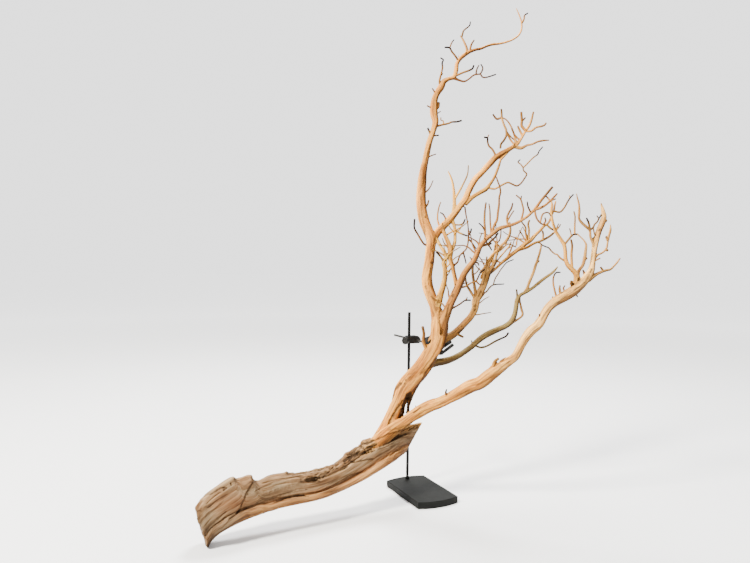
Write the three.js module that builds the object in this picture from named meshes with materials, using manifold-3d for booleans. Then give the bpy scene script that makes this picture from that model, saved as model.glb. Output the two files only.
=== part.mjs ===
import * as THREE from 'three';
import { mergeVertices } from 'three/addons/utils/BufferGeometryUtils.js';
import Module from 'manifold-3d';

const wasm = await Module();
wasm.setup();

// A dried, weathered branch held by a laboratory rod stand.
// Millimetres, +Z up, the origin on the rod's axis at the underside of the base plate, the broad side facing -Y.

// Stand
const STAND_TURN = 24.8; // degrees that the stand is turned from the branch's broad side
const PLATE_WIDTH = 145;
const PLATE_SIDE = 225; // length of the straight sides
const PLATE_BULGE = 14; // rise of the arched ends
const PLATE_THICK = 22;
const PLATE_CHAMFER = 1.5;
const PLATE_BACK = 13; // from the rod to the back corners
const ROD_RADIUS = 5;
const ROD_TOP = 600;
const ROD_SUNK = 14; // length of the rod inside the plate
const COLLAR_RADIUS = 6.5;
const COLLAR_HEIGHT = 8;
const GAP = 0.3; // running gap between pieces

// Boss head and clamp, placed from the rod's axis: across to the right, out to the front
const BOSS_HEIGHT = 503;
const BOSS_LOW = 493;
const BOSS_TOP = 519;
const BOSS_DEEP = 26;
const BOSS_END_RADIUS = 13;
const ARM_ACROSS = 24;
const ARM_RADIUS = 3.8;
const ARM_BACK = -158;
const ARM_FRONT = 98;
const SCREW_RADIUS = 3;
const ROD_SCREW_TURN = 150; // degrees from the stand's right to the screw's outer end
const KNOB_RADIUS = 12.5;
const KNOB_THICK = 11;
const ARM_KNOB_RADIUS = 7;
const ARM_KNOB_THICK = 6;
const PIVOT_ACROSS = 36;
const PIVOT_OUT = 104;
const PIVOT_RADIUS = 2.4;
const CHEEK_RADIUS = 9;
const LUG_RADIUS = 8;
const LUG_TALL = 9;
const YOKE_TALL = 23;
const JAW_LEAN = 27.5; // degrees that the jaw faces lean with the stem
const JAW_THICK = 5;
const FINGER_RADIUS = 3;
const SLEEVE_RADIUS = 4.9;
const SLEEVE_SIDES = 8;
const JAW_OPEN_STEPS = [0, 1.5, 3, 5, 7.5, 10, 12.5]; // degrees
const WING_HALF = 11.5;
const WING_TALL = 12;

// The limbs are sketched as seen from one eye point in front of the broad side
const EYE = new THREE.Vector3(-119, -2266, 779);
const EYE_DOWN = 1.9; // degrees
const EYE_ROLL = 0.62; // degrees
const SKETCH_REACH = 662; // distance of the sketch sheet from the eye, in its own units
const SKETCH_CENTRE = [375, 281.5];
const FACET_SLACK = 0.75; // how far small facets may move when they are merged
const SPUR_COUNT = 16;
const SPUR_SEED = 11;

// Cross-section of the weathered trunk: height from -1 to 1, depth from -1 in front to 1 behind
const TRUNK_SECTION = [
  [-1, 0], [-0.94, -0.5], [-0.8, -0.84], [-0.62, -0.84], [-0.5, -0.56], [-0.36, -0.66], [-0.05, -0.84],
  [0.25, -0.88], [0.38, -0.66], [0.52, -0.84], [0.8, -0.64], [0.95, -0.34], [1, 0], [0.9, 0.55],
  [0.5, 0.92], [0, 1], [-0.5, 0.92], [-0.9, 0.5],
];

// Trunk stations: top across, top down, bottom across, bottom down, depth, thickness
const TRUNK = [
  [196, 505.5, 207, 549, -506, 62],
  [203.5, 496, 214, 538.5, -494, 72],
  [213, 488.5, 224, 531.5, -482, 78],
  [223, 481.5, 236, 524.5, -466, 80],
  [231, 477, 247, 519.5, -450, 80],
  [237, 478.5, 253, 517.2, -440, 82],
  [249, 475, 262, 514, -426, 82],
  [256, 480.3, 270, 511.2, -414, 76],
  [270, 474.8, 285, 507.5, -392, 74],
  [285, 472.7, 300, 504.3, -370, 74],
  [300, 472.4, 314, 501.2, -348, 74],
  [314, 470.2, 328, 497, -326, 74],
  [326, 467, 340, 492, -304, 74],
  [336, 462.5, 352, 486.5, -282, 74],
  [346, 455.5, 364, 480, -260, 76],
  [356, 447.5, 377, 472.5, -238, 78],
  [366, 440.5, 387, 466, -218, 76],
  [378, 436, 394, 461.5, -200, 68],
  [392, 429.5, 400, 457, -178, 56],
  [408, 425, 403, 454.5, -158, 44],
  [422.6, 422, 405.4, 453, -138, 30],
];

// Limbs: the name, and points of across, down, depth in mm, radius in mm
const LIMBS = {
  mainStem: [
    [378, 445, -205, 24], [387, 429, -188, 24], [394, 414, -172, 23], [400, 399, -160, 24],
    [404.5, 389, -152, 27],
    [411.5, 380, -145, 27], [420, 370, -137, 26], [427.4, 359.5, -130, 25], [433, 350, -126, 24.5],
    [437.5, 340, -125, 24.5], [439, 330, -125, 24], [439, 320, -125, 22.5],
  ],
  leftStem: [
    [438.8, 326, -125, 20], [437, 315, -123, 18], [434.5, 305, -121, 17.5], [431, 297, -119, 17.5],
    [428, 289, -117, 18], [426.7, 281, -115, 18], [427.3, 272, -113, 17], [429, 262, -111, 16.5],
    [430.4, 250, -108, 16], [431, 240, -106, 15.6], [427.6, 230, -102, 15], [423.8, 220, -98, 14.6],
    [421.9, 210, -94, 14.4], [421.2, 200, -90, 14.4], [421.4, 190, -87, 14.4], [422.2, 180, -84, 13.4],
    [423.5, 170, -81, 12.2], [425.6, 160, -78, 11.4], [427.5, 150, -75, 10.6], [430, 140, -72, 9.6],
    [433.6, 130, -69, 9.4], [435.4, 122, -66, 9.6], [433.9, 114, -64, 11.6], [433.9, 106, -62, 11],
    [434.8, 99, -60, 9.6], [437.2, 93, -58, 9.4], [441.2, 87, -56, 10.4], [444, 81.5, -54, 9],
    [449, 78.8, -52, 6.5], [454, 77, -50, 7], [456.3, 70, -48, 7.2], [457, 64, -46, 6.6],
    [460, 59, -43, 6.5],
    [464.5, 55, -40, 7], [469, 52, -36, 6.2], [475, 49.8, -32, 4.8], [481, 48.5, -27, 4.5],
    [487, 46, -22, 4.2], [492, 44.5, -18, 4.4], [500, 43.6, -12, 3.8], [508, 41.5, -6, 3.5],
    [514, 38.8, -1, 3.3], [519, 34.8, 3, 3.1], [521.5, 29.5, 6, 3.1], [521.6, 23, 8, 3], [520, 17, 10, 2.6],
    [516.4, 8.5, 12, 1.9],
  ],
  secondStem: [
    [431, 244, -107, 13], [436.5, 234, -102, 12], [443, 226.5, -95, 12], [450, 219.5, -87, 11.5],
    [455.5, 212.5, -79, 11.2], [460.2, 206, -71, 10.8], [465, 199.5, -62, 10.6], [468.5, 191.5, -54, 10.5],
    [472, 184.5, -46, 10.4], [476, 178.5, -38, 10], [481, 173.5, -28, 9.6], [486, 168, -18, 9.6],
    [490.5, 163, -9, 9.5], [495, 158, -1, 9.5], [500, 154.5, 7, 9], [506, 151, 15, 8],
    [512, 147.5, 22, 7.2],
    [517, 144, 27, 6.6], [520.5, 139.5, 31, 5.2], [523.5, 134.5, 34, 4.6], [526.3, 130, 37, 3.8],
  ],
  rejoiningLimb: [
    [465, 204, -66, 8], [473, 196.8, -62, 7], [480, 192.5, -56, 7], [486, 189, -50, 7.4],
    [490, 184, -42, 5.6],
    [494, 178, -30, 5], [497, 171, -18, 4.6], [499.3, 164.5, -8, 4.2], [500.6, 160, 0, 4],
    [504, 156.3, 8, 3.8],
    [509, 151, 18, 3.6],
  ],
  middleLimb: [
    [440, 334, -128, 19], [443, 322, -134, 16], [447, 311.5, -142, 14], [450.5, 303, -150, 13.5],
    [454.5, 295, -157, 13.8], [458, 287.5, -164, 13], [461.5, 280, -170, 11.5], [465, 272.5, -177, 10.4],
    [469.5, 266.5, -184, 9.6], [473.5, 261.5, -190, 9], [477, 254.5, -196, 8.2], [480, 247, -202, 7.2],
    [485, 240.5, -209, 6.8], [492, 234.3, -217, 6.4], [499.5, 228.5, -224, 6.6], [508, 226, -231, 5.2],
    [514, 224, -236, 5], [521, 220.6, -242, 4.6], [527.5, 216.3, -248, 4.4], [534.5, 210, -253, 4.8],
    [541, 207.6, -258, 4.4], [546, 204.6, -261, 3.8], [550.5, 200.6, -264, 3.6], [557.3, 193.4, -268, 2.8],
  ],
  backLimb: [
    [437, 345, -118, 15], [445.4, 339.6, -96, 12.4], [452.6, 335, -84, 12], [459.8, 328.8, -74, 12],
    [465.8, 322.4, -66, 12], [471, 316.4, -60, 12.2], [474.8, 309, -55, 12.8], [476.2, 300.5, -49, 13.4],
    [479.4, 293.5, -44, 12.4], [482.8, 287, -38, 11.4], [485.5, 280, -32, 10.4], [488.2, 273, -25, 9],
    [492, 266.5, -18, 7.6], [495.6, 259.5, -24, 6.4], [497, 252.5, -34, 5.6], [500, 246.8, -46, 5.4],
    [505, 242.2, -60, 5.2], [509, 236, -76, 4.8], [510.4, 229.5, -92, 4], [509.5, 222, -104, 3],
  ],
  upperBackLimb: [
    [489, 274, -20, 7], [495, 268.3, -8, 7], [501, 262.3, 4, 7.6], [507, 258, 14, 7.8], [513, 253.4, 24, 7],
    [519.5, 248.5, 34, 7], [525.5, 243.6, 44, 8], [530.5, 240.2, 50, 7.4], [535, 235.4, 56, 6],
    [540, 230.5, 62, 5.2],
    [544, 226, 66, 5.2], [548, 223.4, 70, 4], [550.4, 219, 74, 4], [551.8, 214.6, 77, 4],
    [553.8, 210.6, 80, 3.8],
    [554.7, 205.4, 83, 3.6], [555.8, 201, 86, 2.8],
  ],
  innerLowerLimb: [
    [426, 365, -124, 15], [435, 363.2, -104, 12], [446, 361, -84, 11.4], [456, 357, -66, 10.5],
    [465, 351.5, -50, 9.6], [473, 345.4, -37, 9.4], [481, 338.5, -25, 9.8], [489, 333.5, -13, 9.8],
    [498, 329.4, -2, 9.2], [505.5, 326.2, 8, 9.2], [511, 321.6, 16, 9], [514.6, 314.5, 23, 8.4],
    [516, 307, 29, 8], [517.3, 299.6, 35, 8], [520, 295.3, 41, 6.6], [526, 292, 50, 6],
    [532, 288.4, 58, 5.6],
    [538, 283.5, 66, 6], [545, 278, 74, 5.4], [550, 274.5, 80, 5], [554, 271.2, 84, 4.4],
    [557.6, 266.8, 88, 2.5],
  ],
  innerLowerFork: [
    [523, 294, 46, 5.5], [527, 288.5, 56, 5.2], [529.6, 281.5, 66, 5.4], [533, 273.5, 76, 5.4],
    [535.6, 265.5, 86, 5.2], [538, 258.5, 94, 4.6], [540.2, 250.5, 100, 4.2], [541, 244, 104, 3.2],
    [537, 242.2, 100, 2.6],
  ],
  splitStrand: [
    [510, 323.5, 12, 6], [518, 319.2, 26, 4], [522.6, 314.6, 34, 4.4], [521.4, 309, 38, 4.4],
    [520, 302, 40, 3.6],
    [519.5, 297, 41, 4],
  ],
  outerArm: [
    [368, 453, -228, 22], [380, 440.5, -214, 21], [392, 430.5, -203, 20], [404, 422.5, -197, 19],
    [415, 414.5, -198, 18.5], [428, 407, -204, 18.5], [440, 402.4, -211, 16.8], [450, 397.6, -218, 15.8],
    [460, 392, -226, 16.4], [470, 386.2, -234, 18.4], [480, 382.4, -241, 19.2], [489.5, 375, -247, 19],
    [499.8, 367.8, -252, 17], [508, 362, -256, 14.4], [515, 356.4, -259, 13], [520.2, 347.6, -262, 12.6],
    [525, 338.6, -264, 13], [530.6, 331.2, -266, 13.8], [537.6, 325.2, -267, 13.2], [543, 317, -267, 12.2],
    [548, 308.6, -267, 11.6], [555, 302, -265, 12.4], [563, 297.2, -261, 13.6], [571, 292.4, -257, 14.6],
    [577.4, 287.6, -254, 14.6], [582.6, 282.6, -250, 14.2], [587, 277.2, -247, 13.4],
    [591, 270.6, -244, 11],
    [592.6, 263, -242, 8.4], [594, 252, -240, 8.2], [595.6, 242, -239, 9], [599, 230.5, -238, 8.6],
    [602.6, 222, -237, 8.8], [604, 216.5, -236, 7.4], [602.8, 210, -236, 5.4], [601, 203, -236, 1.8],
  ],
  forkLimb: [
    [571, 294, -256, 10], [575, 286, -254, 10], [577, 279.6, -250, 9.6], [576, 274, -246, 8.6],
    [572.4, 269.8, -242, 7.6], [568.2, 265.6, -238, 7], [565.8, 260, -233, 6.2], [565.2, 252, -229, 6],
    [564.2, 245, -225, 6.2], [560, 238, -218, 5.6], [556.2, 232, -212, 5.2], [553.8, 226, -208, 4.6],
    [552, 219, -204, 4.4], [551.2, 212, -200, 4.4], [552, 205, -197, 3.8], [551.2, 200.5, -195, 2.4],
  ],
  forkRightLimb: [
    [577, 277, -249, 7], [579, 270.4, -250, 5.2], [582.6, 265.4, -252, 5], [584.6, 258.6, -256, 5.4],
    [585.6, 251, -260, 4.6], [586, 244, -264, 3.4], [583, 239.4, -260, 2.6], [577.5, 234.2, -250, 2.4],
  ],
  rightSideLimb: [
    [594.5, 249, -240, 5], [592.6, 242.5, -243, 4.4], [590.4, 236.5, -247, 4.2], [589.8, 230.4, -251, 4.2],
    [586, 226.6, -256, 4.6], [582, 223, -260, 4.2], [579, 218.6, -264, 3.8], [579.2, 212, -268, 4],
    [579, 205, -271, 3.2], [577.7, 199, -273, 2.6], [576.4, 193.6, -275, 1.8],
  ],
  outermostLimb: [
    [588, 280, -248, 8], [595.4, 274.8, -242, 5.6], [601.6, 271.8, -234, 4.6], [606.2, 270.3, -226, 4.2],
    [610.4, 269.4, -218, 3.6], [614, 266, -210, 3.2], [617.2, 262.4, -204, 3.2], [620, 258.4, -198, 2.4],
  ],
  rightSpike: [
    [593.4, 260, -242, 5], [598, 254.8, -246, 3.6], [602.6, 252.6, -251, 3.2], [606.4, 248.4, -256, 3.2],
    [607.5, 243, -260, 3.2], [608.8, 236, -264, 4], [610.4, 230, -268, 3.8], [610.4, 224.6, -271, 1.8],
  ],
  crossLimb: [
    [457, 290, -162, 8.5], [455.6, 281, -154, 6.8], [453.8, 273, -148, 6.6], [452.2, 265.5, -143, 6.8],
    [450.2, 258.5, -138, 7.4], [450.6, 250.5, -131, 9], [448.4, 243, -122, 7.8], [445.4, 236, -112, 6.6],
    [442.6, 228.5, -98, 6.4],
  ],
  paleBridge: [
    [434, 236, -106, 7], [439.6, 244.5, -116, 5.4], [444.4, 252.5, -127, 5.2], [449.4, 258.5, -137, 5.6],
  ],
  crotchLimb: [
    [437.5, 306, -128, 11], [440.4, 295, -134, 9.8], [443.4, 285.5, -139, 8.6], [445, 276.5, -142, 8],
    [444.8, 268.5, -144, 7.4], [443.6, 262, -145, 6.2], [446.6, 257.6, -141, 5.4], [450.4, 257, -138, 5],
  ],
  innerLoop: [
    [451.5, 218.5, -86, 7], [454.2, 226, -92, 5.4], [455, 234, -100, 5.2], [454.8, 241.5, -110, 5.4],
    [452.6, 249, -124, 6],
  ],
  paleLimb: [
    [451, 220, -86, 7], [453.6, 212.5, -80, 6.8], [454.4, 205, -73, 6.2], [454.2, 197, -64, 5.6],
    [453.6, 189, -56, 4.6], [452.4, 182, -48, 4], [450.4, 176, -42, 3.2], [448, 171.2, -36, 2],
  ],
  plumeLimb: [
    [454, 78, -50, 6], [459, 80.2, -56, 4], [464.6, 81.4, -64, 3.4], [469.4, 78.6, -72, 3],
    [474, 75, -79, 3], [480.5, 74, -86, 2.8],
  ],
  topSpray: [
    [466, 54.5, -39, 6], [466.8, 49, -34, 4.6], [464.6, 43, -28, 3.8], [461.6, 37.4, -22, 3],
    [460.2, 35.8, -20, 2],
  ],
  bunchLimb: [
    [514, 146.5, 24, 6], [521, 148, 18, 6], [526.8, 145.4, 10, 4.2], [532, 144.2, 2, 3.8],
    [538, 141.6, -6, 3.6],
    [543, 140.6, -12, 3.6], [549, 140.2, -18, 2.2],
  ],
  twinLimb: [
    [488.6, 275, -27, 7], [493.4, 267.6, -18, 5.8], [496.2, 261, -8, 5.6], [498.8, 255.6, 2, 5],
    [503, 251, 12, 4.2],
    [508.4, 248, 22, 2.8], [516.4, 245.6, 34, 1.6],
  ],
  backStrand: [
    [482, 279, -34, 8], [485, 268.6, -44, 5.6], [488.6, 260.4, -54, 5], [492.6, 254.6, -62, 4.6],
    [497.2, 250.4, -56, 4.6],
  ],
  loopTwig: [
    [516, 144.5, 26, 5], [514.6, 136.5, 32, 4.2], [512.6, 130, 38, 3.2], [509.6, 124, 44, 3],
    [506, 119.6, 50, 2.8],
    [501.2, 117.2, 56, 2.8],
  ],
  climbingTwig: [
    [454, 271, -147, 5], [453.8, 265.8, -140, 4], [457.6, 262, -132, 3.2], [459.6, 256, -124, 3],
    [463, 252.4, -116, 3.4], [466.4, 248.6, -108, 2.8], [468.2, 241, -98, 3], [468.4, 233, -90, 2.8],
    [467.8, 224, -82, 2.6], [466, 215, -74, 2.8], [464.9, 207, -68, 3],
  ],
  stemLobe: [
    [441.5, 345, -122, 9], [445.4, 335, -119, 6.4], [447.2, 326, -117, 4.4], [447.2, 320, -116, 2.2],
  ],
  stemSliver: [
    [419, 376, -146, 12], [415.6, 385, -150, 10], [412, 393, -155, 8], [410, 401, -160, 5],
    [408.2, 408, -164, 3],
    [405.8, 413.4, -168, 1.8],
  ],
  stemFlank: [
    [412, 371, -140, 10], [404.6, 380, -142, 12], [399.4, 388, -148, 12], [396, 397, -156, 11],
    [393.6, 407, -164, 9],
    [390.4, 417, -172, 8],
  ],
  hollowSliver: [
    [406.5, 396, -152, 6], [404.8, 405, -158, 3], [403.2, 414, -166, 3.4], [400, 421, -178, 5],
  ],
};

// Twigs: the limb or twig each grows from, lean away from the eye in mm, root radius, tip radius, points
const TWIGS = {
  lowerSpur: ['backLimb', -8, 4, 2.6, [[455, 334], [459.4, 335.2], [463.4, 337.2]]],
  armKnots: ['outerArm', 4, 7, 4, [[486, 375], [492, 368], [497.4, 363]]],
  armCrest: ['outerArm', -4, 6, 3.6, [[497, 369], [502, 361.4], [506.6, 358.4]]],
  webHook: ['middleLimb', 12, 3.4, 2.2, [[480.4, 247.4], [484.4, 245.2], [488, 244.2], [491.4, 240.6],
    [495, 237.4],
    [498, 233]]],
  webPeg: ['webHook', 6, 2.6, 1.8, [[487.6, 244.4], [489.6, 246.6], [491.6, 250]]],
  webSlip: ['middleLimb', 22, 2.6, 1.6, [[476.6, 262], [478, 263.4], [478.8, 265.4]]],
  webCross: ['backStrand', -18, 3, 1.8, [[486.6, 264.4], [484.6, 266.8], [482.8, 269], [479.8, 272.6]]],
  webRise: ['backStrand', 12, 2.8, 1.8, [[487.8, 262], [490.6, 257.8], [493.2, 255.4]]],
  webPale: ['backLimb', -16, 2.6, 1.6, [[497, 251], [494.8, 246.4], [496.6, 243.6], [499.2, 240.6],
    [500.6, 236], [501, 230]]],
  thornUp: ['twinLimb', -10, 2.6, 1.6, [[507.6, 248.6], [509.6, 245.6], [511, 242]]],
  armWeb: ['outerArm', 6, 4, 2, [[582.6, 279], [584.4, 273.8], [583, 270.4]]],
  hookTip: ['leftStem', -8, 2.4, 1.8, [[521.8, 23.5], [524, 19], [524.5, 15.5], [527.7, 13.2]]],
  sprayTip: ['topSpray', 16, 2.4, 1.6, [[462, 37.4], [463.5, 31], [465, 29.4], [469.6, 25.4], [470.4, 22]]],
  sprayStub: ['leftStem', -14, 3, 1.8, [[469.2, 50.5], [471.4, 44.5], [473.9, 40.3]]],
  leftFork: ['leftStem', -22, 3, 2, [[457.5, 61], [456, 57], [452, 51.8], [449.5, 47.8], [445, 47.3]]],
  leftForkTip: ['leftFork', 8, 2, 1.5, [[449.7, 48], [451.6, 43], [453.8, 40]]],
  darkSpur: ['leftStem', -34, 3, 2.2, [[456.4, 77], [458.5, 74.5], [463, 72.6], [470, 70],
    [472.6, 68.4], [473.8, 65.3]]],
  plumeUp: ['plumeLimb', -10, 2.2, 1.5, [[475.6, 74], [476.8, 69.5], [478.8, 65.4]]],
  plumeCurl: ['plumeLimb', 14, 2.2, 1.6, [[480, 74], [481.5, 72], [482.8, 68], [481, 64.4]]],
  plumeTip: ['plumeLimb', -16, 2.2, 1.7, [[480.2, 74.2], [482.5, 77], [485.2, 77.5], [491, 76],
    [495.7, 74.5]]],
  leftReed: ['leftStem', -26, 3, 1.8, [[439.5, 87], [439.4, 82], [440.2, 77.5], [441.3, 73.5],
    [442.5, 67.5], [442.2, 62.6],
    [443.4, 60], [440.8, 58]]],
  reedStub: ['leftReed', 4, 1.8, 1.5, [[440.5, 76.5], [442.6, 73.6]]],
  leftThorn: ['leftStem', -8, 3, 1.6, [[434.5, 94], [432.4, 88.6]]],
  brokenStub: ['leftStem', 6, 4.6, 3.6, [[436.5, 111], [438, 106.5], [438.8, 102.6]]],
  leftNub: ['leftStem', -6, 2.6, 1.8, [[431, 109.5], [427.4, 105.8]]],
  rightNub: ['leftStem', 6, 2, 1.4, [[437.6, 115], [440.4, 111.4]]],
  sideTwig: ['leftStem', 26, 3, 2.2, [[436.4, 127], [440, 125.3], [444.2, 124.3], [448.2, 123.4],
    [452, 122], [457, 121.7],
    [461.6, 120.5]]],
  sideTwigTip: ['sideTwig', -6, 1.8, 1.5, [[443.4, 124.4], [443.2, 121], [441, 120.2], [440.8, 117.8]]],
  leftPeg: ['leftStem', -8, 3, 2.4, [[430, 135.5], [427.7, 128]]],
  rightPeg: ['leftStem', 8, 2.4, 2, [[434, 136.8], [438.4, 135.3]]],
  rightWisp: ['leftStem', 12, 2, 1.4, [[428, 158], [432, 155.4], [435.8, 154.1]]],
  stemWisp: ['leftStem', 18, 2.6, 1.3, [[424.6, 195], [427, 191], [430.5, 186.4], [433, 180.6]]],
  stemPeg: ['leftStem', 10, 3, 2, [[426, 210], [427.4, 204.6], [428.6, 200.6]]],
  hookTwig: ['leftStem', -30, 2.8, 2.2, [[428, 245.5], [424.6, 244.4], [422, 241.4], [417.6, 234],
    [414.4, 228], [414.6, 219]]],
  farWisp: ['secondStem', 30, 2.6, 1.6, [[440.6, 229], [438, 222], [437.6, 215], [439, 207],
    [440.6, 202.4]]],
  nearWisp: ['secondStem', -18, 2.2, 1.6, [[447.5, 222], [443.4, 214.6], [440.4, 212.6]]],
  paleFork: ['paleLimb', 20, 3.2, 1.5, [[454.6, 200], [457.4, 194.4], [460, 190], [463, 184.4],
    [466, 178.4], [467.6, 174],
    [468.4, 165.6]]],
  darkCross: ['innerLoop', -40, 2.8, 2.2, [[455, 229.5], [458, 232], [463, 234.4], [467, 235.8]]],
  crossTip: ['climbingTwig', -20, 2.2, 2, [[468.3, 236], [470.6, 232], [471.3, 229]]],
  curlTwig: ['innerLoop', -18, 2.2, 1.8, [[454.6, 224.4], [460, 224.8], [463.6, 223], [465, 219.3]]],
  climbSide: ['climbingTwig', -16, 2.2, 1.6, [[468.4, 238.6], [472, 243], [476, 248.4]]],
  climbLow: ['climbingTwig', 16, 2.4, 1.6, [[463.6, 252.6], [464.6, 257], [466, 263.2]]],
  midSpear: ['middleLimb', 26, 3.4, 2, [[484.6, 240.5], [485, 232], [484.5, 222], [484.8, 212],
    [485.5, 206], [486, 203]]],
  midHook: ['midSpear', -14, 2, 1.5, [[485, 231], [482, 226], [479, 223.3]]],
  midReed: ['middleLimb', 34, 2.4, 1.6, [[490.8, 235], [490.2, 222], [490, 214], [489.7, 208.5],
    [489, 204]]],
  longReed: ['middleLimb', 60, 3.4, 1.8, [[491, 235], [494.4, 225], [497, 220], [498, 212],
    [499, 204.5], [499.2, 198],
    [500.4, 192], [499.8, 187], [497.6, 181], [496.4, 177.4]]],
  twinReed: ['middleLimb', -16, 3, 1.9, [[508.2, 226], [507, 217.6], [509, 212.4], [511.5, 208],
    [512.6, 203.4]]],
  twinReedTip: ['twinReed', -8, 2.2, 1.5, [[507.6, 221], [510.6, 215.4], [513.8, 210.8]]],
  midTwig: ['middleLimb', 24, 2.6, 1.8, [[520.8, 220.8], [523.4, 210], [522.4, 205], [520.4, 199],
    [516.4, 195.4]]],
  midTwigTip: ['midTwig', -4, 1.8, 1.5, [[520.6, 200], [521.4, 196.2]]],
  smallPair: ['middleLimb', -18, 2.4, 1.6, [[531, 213], [528, 206.5], [527.3, 202]]],
  upperFork: ['middleLimb', -16, 3.6, 2.6, [[534.6, 210], [541, 200.6], [546, 194.6], [552.6, 186.8]]],
  forkPeg: ['middleLimb', 8, 2.4, 1.8, [[550, 201], [548, 198.2], [546, 196.2]]],
  forkThorn: ['middleLimb', -8, 2, 1.5, [[550.4, 201], [555.6, 198.9]]],
  hangingTwig: ['middleLimb', 40, 2.4, 1.8, [[485.6, 240.2], [488, 244.6], [491.4, 243.6]]],
  lowTwig: ['middleLimb', -30, 2.6, 1.8, [[460, 289], [466, 286.2], [470, 283.4], [476, 281],
    [480, 273.6], [484.4, 269.4]]],
  spanTwig: ['middleLimb', 60, 2.6, 2, [[448, 311.5], [454, 307.4], [460, 304], [465, 300.5],
    [470.5, 300.2]]],
  spanStub: ['spanTwig', -4, 1.8, 1.4, [[465.4, 300.6], [467.2, 297.6]]],
  backReed: ['backLimb', -30, 4.6, 2.6, [[475.6, 299], [474.6, 287], [473.4, 279], [472.6, 271],
    [473.4, 263], [476, 256]]],
  backReedTwo: ['backLimb', -22, 4.2, 2.4, [[473.4, 299], [470, 290.6], [466.6, 284.6], [465.4, 277]]],
  backThorn: ['backLimb', -26, 3.6, 2, [[482, 288], [483.6, 278], [486, 268], [486.8, 257]]],
  backSpear: ['backLimb', 26, 3.8, 2.4, [[486.6, 277], [487.8, 268], [490.4, 262], [493.4, 255],
    [495.2, 247], [496, 241]]],
  faintTwig: ['backLimb', 34, 2.6, 1.6, [[480, 296], [486, 292], [489.4, 287.8], [493.2, 285],
    [503.8, 284]]],
  faintTwigUp: ['faintTwig', 24, 1.9, 1.5, [[493, 285], [495, 279], [498, 274], [502, 268],
    [507, 262.4], [513.4, 259.6]]],
  clusterTwig: ['upperBackLimb', -14, 3, 1.8, [[527.4, 242], [525.6, 232], [525.5, 227.5], [522, 222.5],
    [520.6, 220]]],
  clusterPeg: ['upperBackLimb', 12, 3.2, 2.4, [[528.4, 241], [529, 230], [528.2, 224], [529.6, 220.2]]],
  clusterWisp: ['upperBackLimb', -10, 2.2, 1.6, [[526.5, 243], [522, 234.4], [519.4, 230.6]]],
  farSpray: ['upperBackLimb', 14, 2.8, 2, [[554.2, 211.5], [560, 212], [564, 208], [568, 201],
    [570, 198], [573.2, 194.6]]],
  farSprayTip: ['farSpray', 4, 1.8, 1.5, [[569.6, 198.8], [569.7, 195.6]]],
  linkTwig: ['upperBackLimb', 30, 4.2, 2.8, [[516, 251], [521, 249.2], [527, 247.4], [531, 245],
    [535, 243], [540.4, 241.2],
    [545, 239], [550, 236], [553.6, 233]]],
  linkPeg: ['linkTwig', -10, 3, 2.2, [[542.6, 240], [543.2, 234], [542.4, 230.8]]],
  thinLink: ['forkLimb', 40, 2.4, 1.6, [[565.6, 263], [560, 257.8], [557, 254.4], [555, 254],
    [551.4, 251], [548.6, 247.8],
    [545, 246.4], [541.4, 244.6]]],
  fallenTwig: ['outerArm', 34, 2.6, 1.6, [[556.6, 300], [554.6, 290], [553.2, 283], [553.6, 277],
    [556, 272.8], [560.2, 272.3]]],
  forkReed: ['forkLimb', -14, 3.6, 2.2, [[571.8, 269.4], [571.5, 255], [572.1, 245], [571, 239.6]]],
  forkCross: ['forkLimb', 14, 2.6, 2.2, [[565.4, 244.4], [569, 239], [571.6, 236], [574, 234.4],
    [577.6, 234.2]]],
  forkUp: ['forkCross', 10, 2.4, 1.8, [[574.8, 234.6], [574.8, 225], [575, 216], [574, 211.8]]],
  forkWisp: ['forkCross', -8, 1.8, 1.4, [[571.4, 236.4], [570.4, 231], [569.6, 228.6]]],
  sideKnuckle: ['rightSideLimb', -10, 3, 2, [[590, 231], [589.4, 226], [588.4, 222], [586.6, 218.3]]],
  sideFork: ['rightSideLimb', 12, 2.4, 1.7, [[590, 230.6], [593.4, 227], [594.4, 224.6], [597.4, 221.6],
    [599.2, 218], [601.2, 214.8]]],
  sideForkTip: ['sideFork', -4, 1.7, 1.4, [[599, 218.6], [597, 215.8]]],
  sideReturn: ['sideFork', 10, 2, 1.8, [[593.2, 227.4], [594.2, 233], [595, 236], [592.2, 239]]],
  shortThorn: ['outerArm', -6, 2.2, 1.6, [[594, 262], [600, 258.2]]],
  outerStub: ['outermostLimb', -4, 3, 2.2, [[603.6, 271.8], [600.6, 267.2]]],
  knotStub: ['forkLimb', -12, 5, 3.4, [[574.6, 286], [571.6, 284], [571.4, 281.4]]],
  lowStub: ['outerArm', 4, 2.6, 2, [[575, 292], [577.4, 296.4]]],
  upperPeg: ['outerArm', -8, 2.4, 1.7, [[560.6, 297], [559.6, 285.8]]],
  upperHook: ['outerArm', 8, 2.2, 1.6, [[567, 294], [563.4, 288.4], [564.8, 285.8]]],
  armPeg: ['outerArm', 8, 2.4, 1.7, [[551, 304], [552.6, 296.8]]],
  elbowPeg: ['outerArm', -6, 2.8, 2, [[540.6, 320], [539.4, 314.6]]],
  armSpur: ['outerArm', -10, 3.4, 1.6, [[448.5, 396], [445.8, 393], [446.6, 389.6]]],
  lowerTwig: ['innerLowerLimb', -34, 2.8, 2.4, [[474, 345], [480, 347.4], [486, 346.4], [494, 342],
    [500, 339], [506, 336.2],
    [508.4, 332.8]]],
  lowerPeg: ['innerLowerLimb', 8, 3.8, 2.2, [[517, 299], [516.5, 289.4]]],
  forkStub: ['innerLowerFork', -4, 2.4, 2, [[536.4, 264.4], [539.2, 261]]],
  stemStick: ['mainStem', -22, 5, 3.4, [[429, 355], [425.4, 347.6], [423.3, 340.5], [423.9, 333.6],
    [422.5, 326.6]]],
  crotchThorn: ['crotchLimb', -10, 3, 2, [[444.8, 267], [448, 271.6], [451, 268.6]]],
  darkPeg: ['crotchLimb', -14, 3, 2.4, [[443.8, 262], [440.6, 256.6], [436.4, 252]]],
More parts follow.
